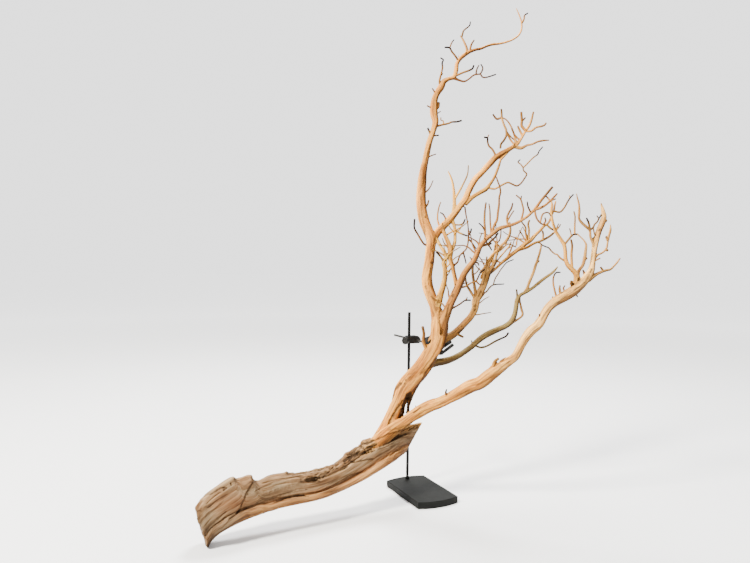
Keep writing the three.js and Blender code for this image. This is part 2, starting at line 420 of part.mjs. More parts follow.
  bunchCurl: ['loopTwig', 12, 2.4, 1.8, [[501.6, 117.4], [497, 119], [495, 117.4], [493, 114.4]]],
  bunchTip: ['loopTwig', -6, 2.4, 1.9, [[501.4, 117.6], [501.6, 112.4], [501.3, 109]]],
  bunchBow: ['loopTwig', -40, 2.4, 2.2, [[501.6, 118], [503.6, 124], [506.1, 130], [506.3, 135.4],
    [504, 140.2], [501, 144],
    [500.4, 148]]],
  bunchPeg: ['secondStem', -10, 3.2, 2.4, [[525.6, 131], [521.6, 125.6], [521.8, 121], [521.2, 112]]],
  bunchPegTip: ['bunchPeg', 4, 2, 1.8, [[521.8, 121.4], [525.2, 117.8]]],
  bunchNub: ['secondStem', 8, 2.6, 1.9, [[522.6, 136], [519, 129], [517.8, 126.2]]],
  bunchReed: ['secondStem', 10, 2.8, 1.9, [[526, 130.4], [529.6, 125], [532, 118], [533.4, 112]]],
  bunchWave: ['secondStem', -16, 2.4, 1.7, [[525.6, 131.6], [531, 131], [536, 127.5], [541, 126.4],
    [544.6, 125], [546.2, 122.8]]],
  stemFork: ['secondStem', -18, 3, 2.2, [[496.4, 156.4], [492, 149], [489, 146], [487.6, 141.4],
    [487.4, 138], [484.2, 137.2]]],
  stemForkTip: ['stemFork', 4, 1.9, 1.6, [[487.4, 138.4], [488.6, 135]]],
  swayTwig: ['rejoiningLimb', 24, 2.8, 1.9, [[488, 188], [494, 189], [498, 187.5], [502.4, 184.8],
    [508, 182.5], [512, 184],
    [516.6, 185.8], [520.4, 183.8], [524.2, 178.8], [526.6, 174], [523.6, 170.6], [523, 167]]],
  swayLeft: ['swayTwig', 6, 1.9, 1.6, [[523.1, 167.6], [521, 164.6], [518, 162], [520, 159.8]]],
  swayRight: ['swayTwig', -14, 2, 1.6, [[523.2, 167.8], [527, 164], [530.4, 160.4], [534, 157],
    [537.6, 154.4], [539, 151.4],
    [542.6, 147]]],
};

const radians = THREE.MathUtils.degToRad;

// Sketch point to a place in space, at the given depth
const sightAxes = (() => {
  const down = radians(EYE_DOWN);
  const roll = radians(EYE_ROLL);
  const ahead = new THREE.Vector3(0, Math.cos(down), -Math.sin(down));
  const level = new THREE.Vector3(1, 0, 0);
  const upright = new THREE.Vector3().crossVectors(level, ahead);
  const right = level.clone().multiplyScalar(Math.cos(roll)).addScaledVector(upright, Math.sin(roll));
  const up = level.clone().multiplyScalar(-Math.sin(roll)).addScaledVector(upright, Math.cos(roll));
  return { ahead, right, up };
})();

function seen(across, down, depth) {
  const ray = sightAxes.ahead.clone()
    .addScaledVector(sightAxes.right, (across - SKETCH_CENTRE[0]) / SKETCH_REACH)
    .addScaledVector(sightAxes.up, (SKETCH_CENTRE[1] - down) / SKETCH_REACH);
  return EYE.clone().addScaledVector(ray, (depth - EYE.y) / ray.y);
}

function seededDraws(seed) {
  let state = seed;
  return () => {
    state = (state * 1664525 + 1013904223) % 4294967296;
    return state / 4294967296;
  };
}

// Closed solids
function solidOf(geometry) {
  const bare = new THREE.BufferGeometry();
  bare.setAttribute('position', geometry.getAttribute('position').clone());
  if (geometry.index) bare.setIndex(geometry.index.clone());
  const merged = mergeVertices(bare, 1e-4);
  return new wasm.Manifold(new wasm.Mesh({
    numProp: 3,
    vertProperties: new Float32Array(merged.getAttribute('position').array),
    triVerts: new Uint32Array(merged.index.array),
  }));
}

function geometryOf(solid) {
  const mesh = solid.getMesh();
  const geometry = new THREE.BufferGeometry();
  geometry.setAttribute('position', new THREE.BufferAttribute(new Float32Array(mesh.vertProperties), 3));
  geometry.setIndex(new THREE.BufferAttribute(new Uint32Array(mesh.triVerts), 1));
  geometry.computeVertexNormals();
  return geometry;
}

function join(solids) {
  return solids.reduce((whole, next) => whole.add(next));
}

function cut(solid, tools) {
  return tools.reduce((whole, tool) => whole.subtract(tool), solid);
}

// Rings of points skinned into one closed body
function skin(rings) {
  const sides = rings[0].length;
  const positions = [];
  const index = [];
  const middleOf = (ring) => ring.reduce((sum, p) => sum.add(p), new THREE.Vector3()).divideScalar(ring.length);
  for (const ring of rings) {
    for (const p of ring) positions.push(p.x, p.y, p.z);
  }
  const first = positions.length / 3;
  const start = middleOf(rings[0]);
  const end = middleOf(rings[rings.length - 1]);
  positions.push(start.x, start.y, start.z, end.x, end.y, end.z);
  for (let r = 0; r + 1 < rings.length; r++) {
    for (let s = 0; s < sides; s++) {
      const a = r * sides + s;
      const b = r * sides + (s + 1) % sides;
      index.push(a, b, a + sides, b, b + sides, a + sides);
    }
  }
  const last = (rings.length - 1) * sides;
  for (let s = 0; s < sides; s++) {
    index.push(first, (s + 1) % sides, s);
    index.push(first + 1, last + s, last + (s + 1) % sides);
  }
  const geometry = new THREE.BufferGeometry();
  geometry.setAttribute('position', new THREE.Float32BufferAttribute(positions, 3));
  geometry.setIndex(index);
  return geometry;
}

// A limb: rings carried along its points, oval and slowly twisting, closed at both ends
function sweptLimb(points, sides, oval) {
  const rings = [];
  const fullness = Math.sqrt(1 / Math.cos(Math.PI / sides));
  const tangent = (i) => {
    const before = points[Math.max(i - 1, 0)].place;
    const after = points[Math.min(i + 1, points.length - 1)].place;
    return after.clone().sub(before).normalize();
  };
  let side = new THREE.Vector3().crossVectors(tangent(0), new THREE.Vector3(0, 1, 0)).normalize();
  let travelled = 0;
  points.forEach(({ place, radius }, i) => {
    const along = tangent(i);
    side.addScaledVector(along, -side.dot(along)).normalize();
    const other = new THREE.Vector3().crossVectors(along, side);
    if (i > 0) travelled += place.distanceTo(points[i - 1].place);
    const ring = [];
    for (let s = 0; s < sides; s++) {
      const angle = 2 * Math.PI * s / sides;
      const reach = fullness * radius * (1 + oval * Math.cos(2 * angle - travelled / 60));
      ring.push(place.clone()
        .addScaledVector(side, reach * Math.cos(angle))
        .addScaledVector(other, reach * Math.sin(angle)));
    }
    rings.push(ring);
  });
  return skin(rings);
}

// Points of a limb, evened out along a smooth curve with a step that follows its thickness
function evenPoints(rows) {
  const places = rows.map(([across, down, depth]) => seen(across, down, depth));
  const curve = new THREE.CatmullRomCurve3(places, false, 'centripetal');
  const radii = rows.map((row) => row[3]);
  const result = [];
  let at = 0;
  const spans = rows.length - 1;
  const length = curve.getLength();
  while (at < 1) {
    const t = Math.min(at, 1);
    const whole = Math.min(Math.floor(t * spans), spans - 1);
    const radius = THREE.MathUtils.lerp(radii[whole], radii[whole + 1], t * spans - whole);
    result.push({ place: curve.getPoint(t), radius });
    const spanLength = places[whole].distanceTo(places[whole + 1]);
    at += Math.max(1.6 * radius, 28) / (spanLength * spans);
  }
  const tipRadius = radii[spans];
  const last = result[result.length - 1];
  if (last.place.distanceTo(places[spans]) < 0.4 * Math.min(25, length)) result.pop();
  result.push({ place: places[spans].clone(), radius: tipRadius });
  return result;
}

function sidesFor(radius) {
  if (radius > 14) return 8;
  if (radius > 9) return 6;
  if (radius > 5.5) return 5;
  return 4;
}

// A twig's root is moved to the middle of what it grows from, and its depth starts there
function rootedPoints(parentRows, lean, rootRadius, tipRadius, points) {
  const [rootAcross, rootDown] = points[0];
  let best = { distance: Infinity };
  for (let i = 0; i + 1 < parentRows.length; i++) {
    for (let step = 0; step <= 10; step++) {
      const t = step / 10;
      const across = THREE.MathUtils.lerp(parentRows[i][0], parentRows[i + 1][0], t);
      const down = THREE.MathUtils.lerp(parentRows[i][1], parentRows[i + 1][1], t);
      const distance = Math.hypot(across - rootAcross, down - rootDown);
      if (distance < best.distance) {
        best = { distance, across, down, depth: THREE.MathUtils.lerp(parentRows[i][2], parentRows[i + 1][2], t) };
      }
    }
  }
  const count = points.length - 1;
  return points.map(([across, down], i) => [
    i === 0 ? best.across : across,
    i === 0 ? best.down : down,
    best.depth + lean * i / count,
    THREE.MathUtils.lerp(rootRadius, tipRadius, i / count),
  ]);
}

function trunkSolid() {
  const rings = TRUNK.map(([topAcross, topDown, bottomAcross, bottomDown, depth, thick]) => (
    TRUNK_SECTION.map(([height, out]) => seen(
      THREE.MathUtils.lerp(bottomAcross, topAcross, (height + 1) / 2),
      THREE.MathUtils.lerp(bottomDown, topDown, (height + 1) / 2),
      depth + out * thick / 2,
    ))
  ));
  return solidOf(skin(rings.map((ring) => ring.reverse())));
}

function branchSolid(tools) {
  const rows = { ...LIMBS };
  const pieces = [trunkSolid()];
  for (const name of Object.keys(LIMBS)) {
    const points = evenPoints(LIMBS[name]);
    const thickest = Math.max(...LIMBS[name].map((row) => row[3]));
    pieces.push(solidOf(sweptLimb(points, sidesFor(thickest), thickest > 10 ? 0.1 : 0)));
  }
  for (const [name, [parent, lean, rootRadius, tipRadius, points]] of Object.entries(TWIGS)) {
    rows[name] = rootedPoints(rows[parent], lean, rootRadius, tipRadius, points);
    const places = rows[name].map(([across, down, depth, radius]) => ({ place: seen(across, down, depth), radius }));
    pieces.push(solidOf(sweptLimb(places, rootRadius > 3.5 ? 4 : 3, 0)));
  }
  pieces.push(...spurSolids(rows));
  const ground = new THREE.BoxGeometry(4000, 4000, 200);
  ground.translate(0, 0, -100);
  return cut(join(pieces).simplify(FACET_SLACK), [solidOf(ground), ...tools]);
}

// Short broken spurs along the limbs, drawn by a seeded rule
function spurSolids(rows) {
  const draw = seededDraws(SPUR_SEED);
  const hosts = ['leftStem', 'secondStem', 'middleLimb', 'backLimb', 'upperBackLimb', 'innerLowerLimb', 'outerArm'];
  const spurs = [];
  for (let n = 0; n < SPUR_COUNT; n++) {
    const host = rows[hosts[Math.floor(draw() * hosts.length)]];
    const at = 3 + Math.floor(draw() * (host.length - 5));
    const [across, down, depth, radius] = host[at];
    const turn = draw() * 2 * Math.PI;
    const reach = radius + 5 + 9 * draw();
    const root = seen(across, down, depth);
    const onward = seen(host[at + 1][0], host[at + 1][1], host[at + 1][2]).sub(root).normalize();
    const out = new THREE.Vector3(Math.cos(turn), Math.sin(turn), 0.4);
    out.addScaledVector(onward, -out.dot(onward)).normalize().addScaledVector(onward, 0.5).normalize();
    const places = [
      { place: root, radius: 3.2 },
      { place: root.clone().addScaledVector(out, reach), radius: 1.5 },
    ];
    spurs.push(solidOf(sweptLimb(places, 3, 0)));
  }
  return spurs;
}

// Simple shapes, in the stand's own frame: x to the right, -y to the front
function upright(radius, bottom, top, x = 0, y = 0, sides = 24) {
  const geometry = new THREE.CylinderGeometry(radius, radius, top - bottom, sides);
  geometry.rotateX(Math.PI / 2);
  geometry.translate(x, y, (bottom + top) / 2);
  return geometry;
}

function bar(radius, from, to, sides = 20) {
  const way = to.clone().sub(from);
  const geometry = new THREE.CylinderGeometry(radius, radius, way.length(), sides);
  const turn = new THREE.Quaternion().setFromUnitVectors(new THREE.Vector3(0, 1, 0), way.clone().normalize());
  geometry.applyQuaternion(turn);
  const middle = from.clone().add(to).multiplyScalar(0.5);
  geometry.translate(middle.x, middle.y, middle.z);
  return geometry;
}

function block(xLow, xHigh, yLow, yHigh, zLow, zHigh) {
  const geometry = new THREE.BoxGeometry(xHigh - xLow, yHigh - yLow, zHigh - zLow);
  geometry.translate((xLow + xHigh) / 2, (yLow + yHigh) / 2, (zLow + zHigh) / 2);
  return geometry;
}

function at(across, out, height) {
  return new THREE.Vector3(across, -out, height);
}

function basePlate() {
  const half = PLATE_WIDTH / 2 - PLATE_CHAMFER;
  const back = PLATE_BACK - PLATE_CHAMFER;
  const front = PLATE_SIDE - PLATE_BACK - PLATE_CHAMFER;
  const arcRadius = (half * half + PLATE_BULGE * PLATE_BULGE) / (2 * PLATE_BULGE);
  const arcHalf = Math.asin(half / arcRadius);
  const shape = new THREE.Shape();
  const steps = 12;
  for (let i = 0; i <= steps; i++) {
    const angle = -arcHalf + 2 * arcHalf * i / steps;
    const x = arcRadius * Math.sin(angle);
    shape[i === 0 ? 'moveTo' : 'lineTo'](x, -front - PLATE_BULGE + arcRadius * (1 - Math.cos(angle)));
  }
  for (let i = 0; i <= steps; i++) {
    const angle = arcHalf - 2 * arcHalf * i / steps;
    const x = arcRadius * Math.sin(angle);
    shape.lineTo(x, back + PLATE_BULGE - arcRadius * (1 - Math.cos(angle)));
  }
  shape.closePath();
  const plate = new THREE.ExtrudeGeometry(shape, {
    depth: PLATE_THICK - 2 * PLATE_CHAMFER,
    bevelThickness: PLATE_CHAMFER,
    bevelSize: PLATE_CHAMFER,
    bevelSegments: 1,
  });
  plate.translate(0, 0, PLATE_CHAMFER);
  const socket = upright(ROD_RADIUS + GAP, PLATE_THICK - ROD_SUNK - GAP, PLATE_THICK + 5);
  return geometryOf(solidOf(plate).subtract(solidOf(socket)));
}

function rod() {
  const foot = PLATE_THICK - ROD_SUNK;
  const profile = [
    [0, foot], [ROD_RADIUS, foot], [ROD_RADIUS, ROD_TOP - 1.2], [ROD_RADIUS - 1.2, ROD_TOP], [0, ROD_TOP],
  ].map(([r, z]) => new THREE.Vector2(r, z));
  return new THREE.LatheGeometry(profile, 24).rotateX(Math.PI / 2);
}

function rodCollar() {
  const low = PLATE_THICK + GAP;
  const high = low + COLLAR_HEIGHT;
  const inner = ROD_RADIUS + GAP;
  const profile = [
    [inner, low], [COLLAR_RADIUS, low], [COLLAR_RADIUS, high - 1], [COLLAR_RADIUS - 0.8, high],
    [inner, high], [inner, low],
  ].map(([r, z]) => new THREE.Vector2(r, z));
  return new THREE.LatheGeometry(profile, 24).rotateX(Math.PI / 2);
}

const rodScrewWay = new THREE.Vector3(
  Math.cos(radians(ROD_SCREW_TURN)), -Math.sin(radians(ROD_SCREW_TURN)), 0,
);
const ROD_SCREW_HEIGHT = 503.5;
const BOSS_LUG_END = 17;

function onRodScrew(distance) {
  return rodScrewWay.clone().multiplyScalar(distance).setZ(ROD_SCREW_HEIGHT);
}

function bossHead() {
  const half = BOSS_DEEP / 2;
  const middle = (BOSS_LOW + BOSS_TOP) / 2;
  const body = join([
    solidOf(block(-11, ARM_ACROSS, -half, half, BOSS_LOW, BOSS_TOP - 3)),
    solidOf(block(-9, ARM_ACROSS, -half + 2, half - 2, BOSS_LOW, BOSS_TOP)),
    solidOf(bar(BOSS_END_RADIUS, at(ARM_ACROSS, -half, middle), at(ARM_ACROSS, half, middle), 28)),
    solidOf(block(ARM_ACROSS - 1, ARM_ACROSS + 11, -half, half, BOSS_LOW, BOSS_LOW + 4)),
    solidOf(bar(9, onRodScrew(2), onRodScrew(BOSS_LUG_END), 24)),
  ]);
  return geometryOf(cut(body, [
    solidOf(upright(ROD_RADIUS + GAP, BOSS_LOW - 5, BOSS_TOP + 5)),
    solidOf(bar(ARM_RADIUS + GAP, at(ARM_ACROSS, -half - 5, BOSS_HEIGHT), at(ARM_ACROSS, half + 5, BOSS_HEIGHT))),
    solidOf(bar(SCREW_RADIUS + GAP, onRodScrew(0), onRodScrew(BOSS_LUG_END + 5))),
    solidOf(bar(SCREW_RADIUS + GAP, at(ARM_ACROSS, 0, BOSS_HEIGHT), at(ARM_ACROSS + 25, 0, BOSS_HEIGHT))),
    solidOf(block(ARM_ACROSS, ARM_ACROSS + 20, -half - 5, half + 5, BOSS_LOW + 4, BOSS_LOW + 6)),
  ]));
}

// A thumbscrew lying along +y: tip at zero, shank, then a knurled round knob
function thumbscrew(shankLength, knobRadius, knobThick) {
  const profile = [
    [0, 0], [SCREW_RADIUS - 0.8, 0], [SCREW_RADIUS, 0.8], [SCREW_RADIUS, shankLength],
    [knobRadius - 1, shankLength],
    [knobRadius, shankLength + 1], [knobRadius, shankLength + knobThick - 1.5],
    [knobRadius - 1.5, shankLength + knobThick],
    [knobRadius * 0.55, shankLength + knobThick], [knobRadius * 0.5, shankLength + knobThick - 1.2],
    [0, shankLength + knobThick - 1.2],
  ].map(([r, y]) => new THREE.Vector2(r, y));
  const body = solidOf(new THREE.LatheGeometry(profile, 20));
  const flutes = [];
  const count = 10;
  for (let i = 0; i < count; i++) {
    const angle = 2 * Math.PI * i / count;
    const flute = new THREE.CylinderGeometry(knobRadius * 0.08, knobRadius * 0.08, knobThick + 4, 4);
    flute.translate(knobRadius * Math.cos(angle), shankLength + knobThick / 2, knobRadius * Math.sin(angle));
    flutes.push(solidOf(flute));
  }
  return geometryOf(cut(body, flutes));
}

function clampArm() {
  return bar(ARM_RADIUS, at(ARM_ACROSS, ARM_BACK, BOSS_HEIGHT), at(ARM_ACROSS, ARM_FRONT, BOSS_HEIGHT), 20);
}

const LUG_LOW = BOSS_HEIGHT - LUG_TALL / 2;
const LUG_HIGH = BOSS_HEIGHT + LUG_TALL / 2;
const YOKE_LOW = BOSS_HEIGHT - YOKE_TALL / 2;
const YOKE_HIGH = BOSS_HEIGHT + YOKE_TALL / 2;

// A plate whose outline is drawn out and up, as thick as given, leaning with the stem
function leaningPlate(outline, across, height, thick, grow) {
  const corners = outline.map(([out, up]) => new THREE.Vector2(out, up));
  const middle = corners.reduce((sum, c) => sum.add(c), new THREE.Vector2()).divideScalar(corners.length);
  const grown = corners.map((c) => c.clone().add(c.clone().sub(middle).setLength(2 * grow)));
  const shape = new THREE.Shape(grown);
  const plate = new THREE.ExtrudeGeometry(shape, { depth: thick + 2 * grow, bevelEnabled: false });
  plate.translate(0, 0, -grow);
  const basis = new THREE.Matrix4().makeBasis(
    new THREE.Vector3(0, -1, 0), new THREE.Vector3(0, 0, 1), new THREE.Vector3(-1, 0, 0),
  );
  plate.applyMatrix4(basis);
  plate.rotateY(radians(JAW_LEAN));
  plate.translate(across, 0, height);
  return plate;
}

const FIXED_JAW_ACROSS = 2.6;
const FIXED_JAW_HEIGHT = 519;
const FIXED_JAW_OUTLINE = [
  [104, -13], [104, 2], [120, 8], [148, 18], [153, 14], [153, -8], [146, -16], [122, -13],
];

function clampYoke(grow = 0) {
  const body = join([
    solidOf(block(8 - grow, 29 + grow, -113 - grow, -94, YOKE_LOW - grow, YOKE_HIGH + grow)),
    solidOf(block(27, PIVOT_ACROSS, -PIVOT_OUT - CHEEK_RADIUS - grow, -PIVOT_OUT + CHEEK_RADIUS,
      YOKE_LOW - grow, YOKE_HIGH + grow)),
    solidOf(upright(CHEEK_RADIUS + grow, YOKE_LOW - grow, YOKE_HIGH + grow, PIVOT_ACROSS, -PIVOT_OUT)),
    solidOf(bar(8, at(ARM_ACROSS, 84, BOSS_HEIGHT), at(ARM_ACROSS, 100, BOSS_HEIGHT), 24)),
    solidOf(block(-6 - grow, 12, -113 - grow, -103, BOSS_HEIGHT - 1, YOKE_HIGH + 3 + grow)),
    solidOf(leaningPlate(FIXED_JAW_OUTLINE, FIXED_JAW_ACROSS, FIXED_JAW_HEIGHT, JAW_THICK, grow)),
  ]);
  return cut(body, grow > 0 ? [] : [
    solidOf(bar(ARM_RADIUS + GAP, at(ARM_ACROSS, 70, BOSS_HEIGHT), at(ARM_ACROSS, ARM_FRONT + GAP, BOSS_HEIGHT), 24)),
    solidOf(block(PIVOT_ACROSS - 10, PIVOT_ACROSS + 30, -130, -PIVOT_OUT + CHEEK_RADIUS + 1, LUG_LOW - GAP, LUG_HIGH + GAP)),
    solidOf(upright(PIVOT_RADIUS + GAP, YOKE_LOW - 5, YOKE_HIGH + 5, PIVOT_ACROSS, -PIVOT_OUT)),
  ]);
}

const FINGERS = [
  { name: 'upper_finger_sleeve', start: at(57, 118, 487), end: at(57, 178, 516) },
  { name: 'lower_finger_sleeve', start: at(59, 118, 470), end: at(59, 188, 507) },
];
const CONTACT_ACROSS = 38.6;
const CONTACT_HEIGHT = 492;
const CONTACT_OUTLINE = [[116, -12], [116, 11], [146, 11], [152, 6], [152, -8], [148, -12]];

function movingJaw(grow = 0) {
  const body = join([
    solidOf(upright(LUG_RADIUS, LUG_LOW, LUG_HIGH, PIVOT_ACROSS, -PIVOT_OUT)),
    solidOf(block(PIVOT_ACROSS, 61, -121, -PIVOT_OUT - 2, LUG_LOW, LUG_HIGH)),
    solidOf(block(34, 63, -121 - grow, -114.5, 487.5, LUG_HIGH)),
    solidOf(block(51, 63, -121 - grow, -114.5, 466, LUG_HIGH)),
    solidOf(leaningPlate(CONTACT_OUTLINE, CONTACT_ACROSS + 4, CONTACT_HEIGHT, 3.6, grow)),
    ...FINGERS.map(({ start, end }) => solidOf(bar(FINGER_RADIUS, start, end, 12))),
  ]);
  if (grow > 0) return body;
  return body.subtract(solidOf(upright(PIVOT_RADIUS + GAP, YOKE_LOW, YOKE_HIGH, PIVOT_ACROSS, -PIVOT_OUT)));
}

// A ribbed rubber sleeve drawn over a finger, closed at its tip
function fingerSleeve({ start, end }) {
  const way = end.clone().sub(start);
  const length = way.length();
  const from = 6.5;
  const inner = (FINGER_RADIUS + GAP) / Math.cos(Math.PI / SLEEVE_SIDES);
  const outline = [[inner, from]];
  const ribs = 6;
  const pitch = (length - from + 1) / ribs;
  for (let i = 0; i < ribs; i++) {
    outline.push([SLEEVE_RADIUS, from + pitch * i], [SLEEVE_RADIUS, from + pitch * (i + 0.6)]);
    outline.push([SLEEVE_RADIUS - 0.9, from + pitch * (i + 0.7)],
    [SLEEVE_RADIUS - 0.9, from + pitch * (i + 0.9)]);
  }
  outline.push([2, length + 2.4], [0, length + 2.4], [0, length + GAP], [inner, length + GAP],
    [inner, from]);
  const sleeve = new THREE.LatheGeometry(outline.map(([r, y]) => new THREE.Vector2(r, y)), SLEEVE_SIDES);
  sleeve.applyQuaternion(new THREE.Quaternion().setFromUnitVectors(new THREE.Vector3(0, 1, 0), way.normalize()));
  sleeve.translate(start.x, start.y, start.z);
  return geometryOf(solidOf(sleeve));
}

function pivotScrew() {
  const top = YOKE_HIGH + GAP;
  const bottom = YOKE_LOW - GAP;
  const wing = [
    [-WING_HALF, -2], [-WING_HALF + 3, 2], [-4, 4], [4, 4], [WING_HALF - 3, 2], [WING_HALF, -2],
    [WING_HALF - 1, -WING_TALL], [WING_HALF - 5, -WING_TALL], [4, -5], [-4, -5],
    [-WING_HALF + 5, -WING_TALL],
    [-WING_HALF + 1, -WING_TALL],
  ].map(([x, z]) => new THREE.Vector2(x, z));
  const wings = new THREE.ExtrudeGeometry(new THREE.Shape(wing), { depth: 3.6, bevelEnabled: false });
  wings.rotateX(Math.PI / 2);
  wings.translate(0, 1.8, bottom - 8);
  const turned = wings.translate(PIVOT_ACROSS, -PIVOT_OUT, 0);
  return geometryOf(join([
    solidOf(upright(PIVOT_RADIUS, bottom - 8, top + 3, PIVOT_ACROSS, -PIVOT_OUT, 16)),
    solidOf(upright(4.6, top, top + 3.2, PIVOT_ACROSS, -PIVOT_OUT, 6)),
    solidOf(upright(5, bottom - 11, bottom, PIVOT_ACROSS, -PIVOT_OUT, 16)),
    solidOf(turned),
  ]));
}

// Materials
const castIron = new THREE.MeshStandardMaterial({ color: 0x2b2c2a, roughness: 0.62, metalness: 0.3 });
const blackSteel = new THREE.MeshStandardMaterial({ color: 0x161616, roughness: 0.4, metalness: 0.6 });
const greySteel = new THREE.MeshStandardMaterial({ color: 0x8d8b85, roughness: 0.42, metalness: 0.8 });
const blackRubber = new THREE.MeshStandardMaterial({ color: 0x141312, roughness: 0.8, metalness: 0 });
const dryWood = new THREE.MeshStandardMaterial({ color: 0xc9a27c, roughness: 0.78, metalness: 0 });

function piece(name, geometry, material) {
  const mesh = new THREE.Mesh(geometry, material);
  mesh.name = name;
  return mesh;
}

function stand() {
  const group = new THREE.Group();
  group.rotation.z = radians(STAND_TURN);
  group.add(piece('base_plate', basePlate(), castIron));
  group.add(piece('rod', rod(), blackSteel));
  group.add(piece('rod_collar', rodCollar(), blackSteel));
  group.add(piece('boss_head', bossHead(), castIron));

  const rodScrew = piece('rod_screw', thumbscrew(BOSS_LUG_END - ROD_RADIUS, KNOB_RADIUS, KNOB_THICK), blackSteel);
  rodScrew.quaternion.setFromUnitVectors(new THREE.Vector3(0, 1, 0), rodScrewWay);
  rodScrew.position.copy(onRodScrew(ROD_RADIUS + GAP));
  group.add(rodScrew);

  const armScrewReach = BOSS_END_RADIUS - ARM_RADIUS;
  const armScrew = piece('arm_screw', thumbscrew(armScrewReach, ARM_KNOB_RADIUS, ARM_KNOB_THICK), blackSteel);
  armScrew.rotation.z = -Math.PI / 2;
  armScrew.position.copy(at(ARM_ACROSS + ARM_RADIUS + GAP, 0, BOSS_HEIGHT));
  group.add(armScrew);

  group.add(piece('clamp_arm', clampArm(), greySteel));
  group.add(piece('clamp_yoke', geometryOf(clampYoke()), castIron));
  group.add(piece('moving_jaw', geometryOf(movingJaw()), greySteel));
  for (const finger of FINGERS) group.add(piece(finger.name, fingerSleeve(finger), blackRubber));
  group.add(piece('pivot_screw', pivotScrew(), blackSteel));
  return group;
}

// The moving jaw's room in the branch, from closed to open
function jawRoom() {
  const sleeves = FINGERS.map(({ start, end }) => solidOf(bar(SLEEVE_RADIUS + 2 * GAP, start, end, 12)));
  const closed = join([movingJaw(GAP), ...sleeves]);
  return JAW_OPEN_STEPS.map((angle) => closed
    .translate([-PIVOT_ACROSS, PIVOT_OUT, 0])
    .rotate([0, 0, angle])
    .translate([PIVOT_ACROSS, -PIVOT_OUT, 0]));
}

function branch() {
  const tools = [clampYoke(GAP), ...jawRoom()].map((solid) => solid.rotate([0, 0, STAND_TURN]));
  return piece('branch', geometryOf(branchSolid(tools)), dryWood);
}

const driedBranchOnStand = new THREE.Group();
driedBranchOnStand.add(stand());
driedBranchOnStand.add(branch());

export default driedBranchOnStand;
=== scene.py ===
import math

import bmesh
import bpy
import numpy as np
from mathutils import Matrix, Vector, kdtree
from mathutils.bvhtree import BVHTree


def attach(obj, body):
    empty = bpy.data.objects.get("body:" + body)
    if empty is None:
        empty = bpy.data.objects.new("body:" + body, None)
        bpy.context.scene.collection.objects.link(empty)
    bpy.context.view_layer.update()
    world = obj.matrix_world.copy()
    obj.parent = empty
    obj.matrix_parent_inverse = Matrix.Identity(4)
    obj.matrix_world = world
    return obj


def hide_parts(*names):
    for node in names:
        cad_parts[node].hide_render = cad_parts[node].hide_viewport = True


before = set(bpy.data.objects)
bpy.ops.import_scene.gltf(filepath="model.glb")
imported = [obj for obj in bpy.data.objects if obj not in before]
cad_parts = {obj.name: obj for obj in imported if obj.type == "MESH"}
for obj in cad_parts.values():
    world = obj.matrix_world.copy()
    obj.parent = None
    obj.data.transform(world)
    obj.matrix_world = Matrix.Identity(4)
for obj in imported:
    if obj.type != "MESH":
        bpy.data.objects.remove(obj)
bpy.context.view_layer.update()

# A dried, weathered branch held by a laboratory rod stand, in metres.
# The limbs are sketched as seen from one eye point, in the photograph's own pixels, with a depth in mm.
# The eye's place in metres, its tilt and roll in degrees, and the sketch sheet in pixels
EYE = np.array([-0.119, -2.266, 0.779])
EYE_DOWN = 1.9
EYE_ROLL = 0.62
SKETCH_REACH = 662
SKETCH_CENTRE = (375, 281.5)
SKETCH_WIDTH = 750

# Short spurs along the limbs
SPUR_COUNT = 16
SPUR_SEED = 11
SPUR_HOSTS = (
    "leftStem", "secondStem", "middleLimb", "backLimb", "upperBackLimb", "innerLowerLimb", "outerArm",
)

# Fine web twigs in the crown: what they grow from, and the part of the sheet where they root
WEB_COUNT = 46
WEB_SEED = 23
WEB_HOSTS = (
    "middleLimb", "backLimb", "upperBackLimb", "crossLimb", "innerLoop", "crotchLimb", "crossLimb",
    "twinLimb", "middleLimb", "backLimb", "upperBackLimb", "backStrand",
)
WEB_HIGHEST = 232
WEB_LEFT = 438
WEB_LOWEST = 318

# Twigs are grown thicker than they are listed
TWIG_SWELL = 1.28
BUNCH_SWELL = 1.7

# Distances in metres between rings of a limb, between points of the skin and between rings of a twig
RING_STEP = 0.0035
SKIN_STEP = 0.0019
FINE_STEP = 0.003

# Cross-section of the weathered trunk: height from -1 to 1, depth from -1 in front to 1 behind
TRUNK_SECTION = [
    [-1, 0], [-0.94, -0.5], [-0.8, -0.84], [-0.62, -0.84], [-0.5, -0.56], [-0.36, -0.66], [-0.05, -0.84],
    [0.25, -0.88], [0.38, -0.66], [0.52, -0.84], [0.8, -0.64], [0.95, -0.34], [1, 0], [0.9, 0.55],
    [0.5, 0.92], [0, 1], [-0.5, 0.92], [-0.9, 0.5],
]

# Trunk stations: top across, top down, bottom across, bottom down, depth, thickness
TRUNK = [
    [196, 505.5, 207, 549, -506, 62],
    [203.5, 496, 214, 538.5, -494, 72],
    [213, 488.5, 224, 531.5, -482, 78],
    [223, 481.5, 236, 524.5, -466, 80],
    [231, 477, 247, 519.5, -450, 80],
    [237, 478.5, 253, 517.2, -440, 82],
    [249, 475, 262, 514, -426, 82],
    [256, 480.3, 270, 511.2, -414, 76],
    [270, 474.8, 285, 507.5, -392, 74],
    [285, 472.7, 300, 504.3, -370, 74],
    [300, 472.4, 314, 501.2, -348, 74],
    [314, 470.2, 328, 497, -326, 74],
    [326, 467, 340, 492, -304, 74],
    [336, 462.5, 352, 486.5, -282, 74],
    [346, 455.5, 364, 480, -260, 76],
    [356, 447.5, 377, 472.5, -238, 78],
    [366, 440.5, 387, 466, -218, 76],
    [378, 436, 394, 461.5, -200, 68],
    [392, 429.5, 400, 457, -178, 56],
    [408, 425, 403, 454.5, -158, 44],
    [422.6, 422, 405.4, 453, -138, 30],
]

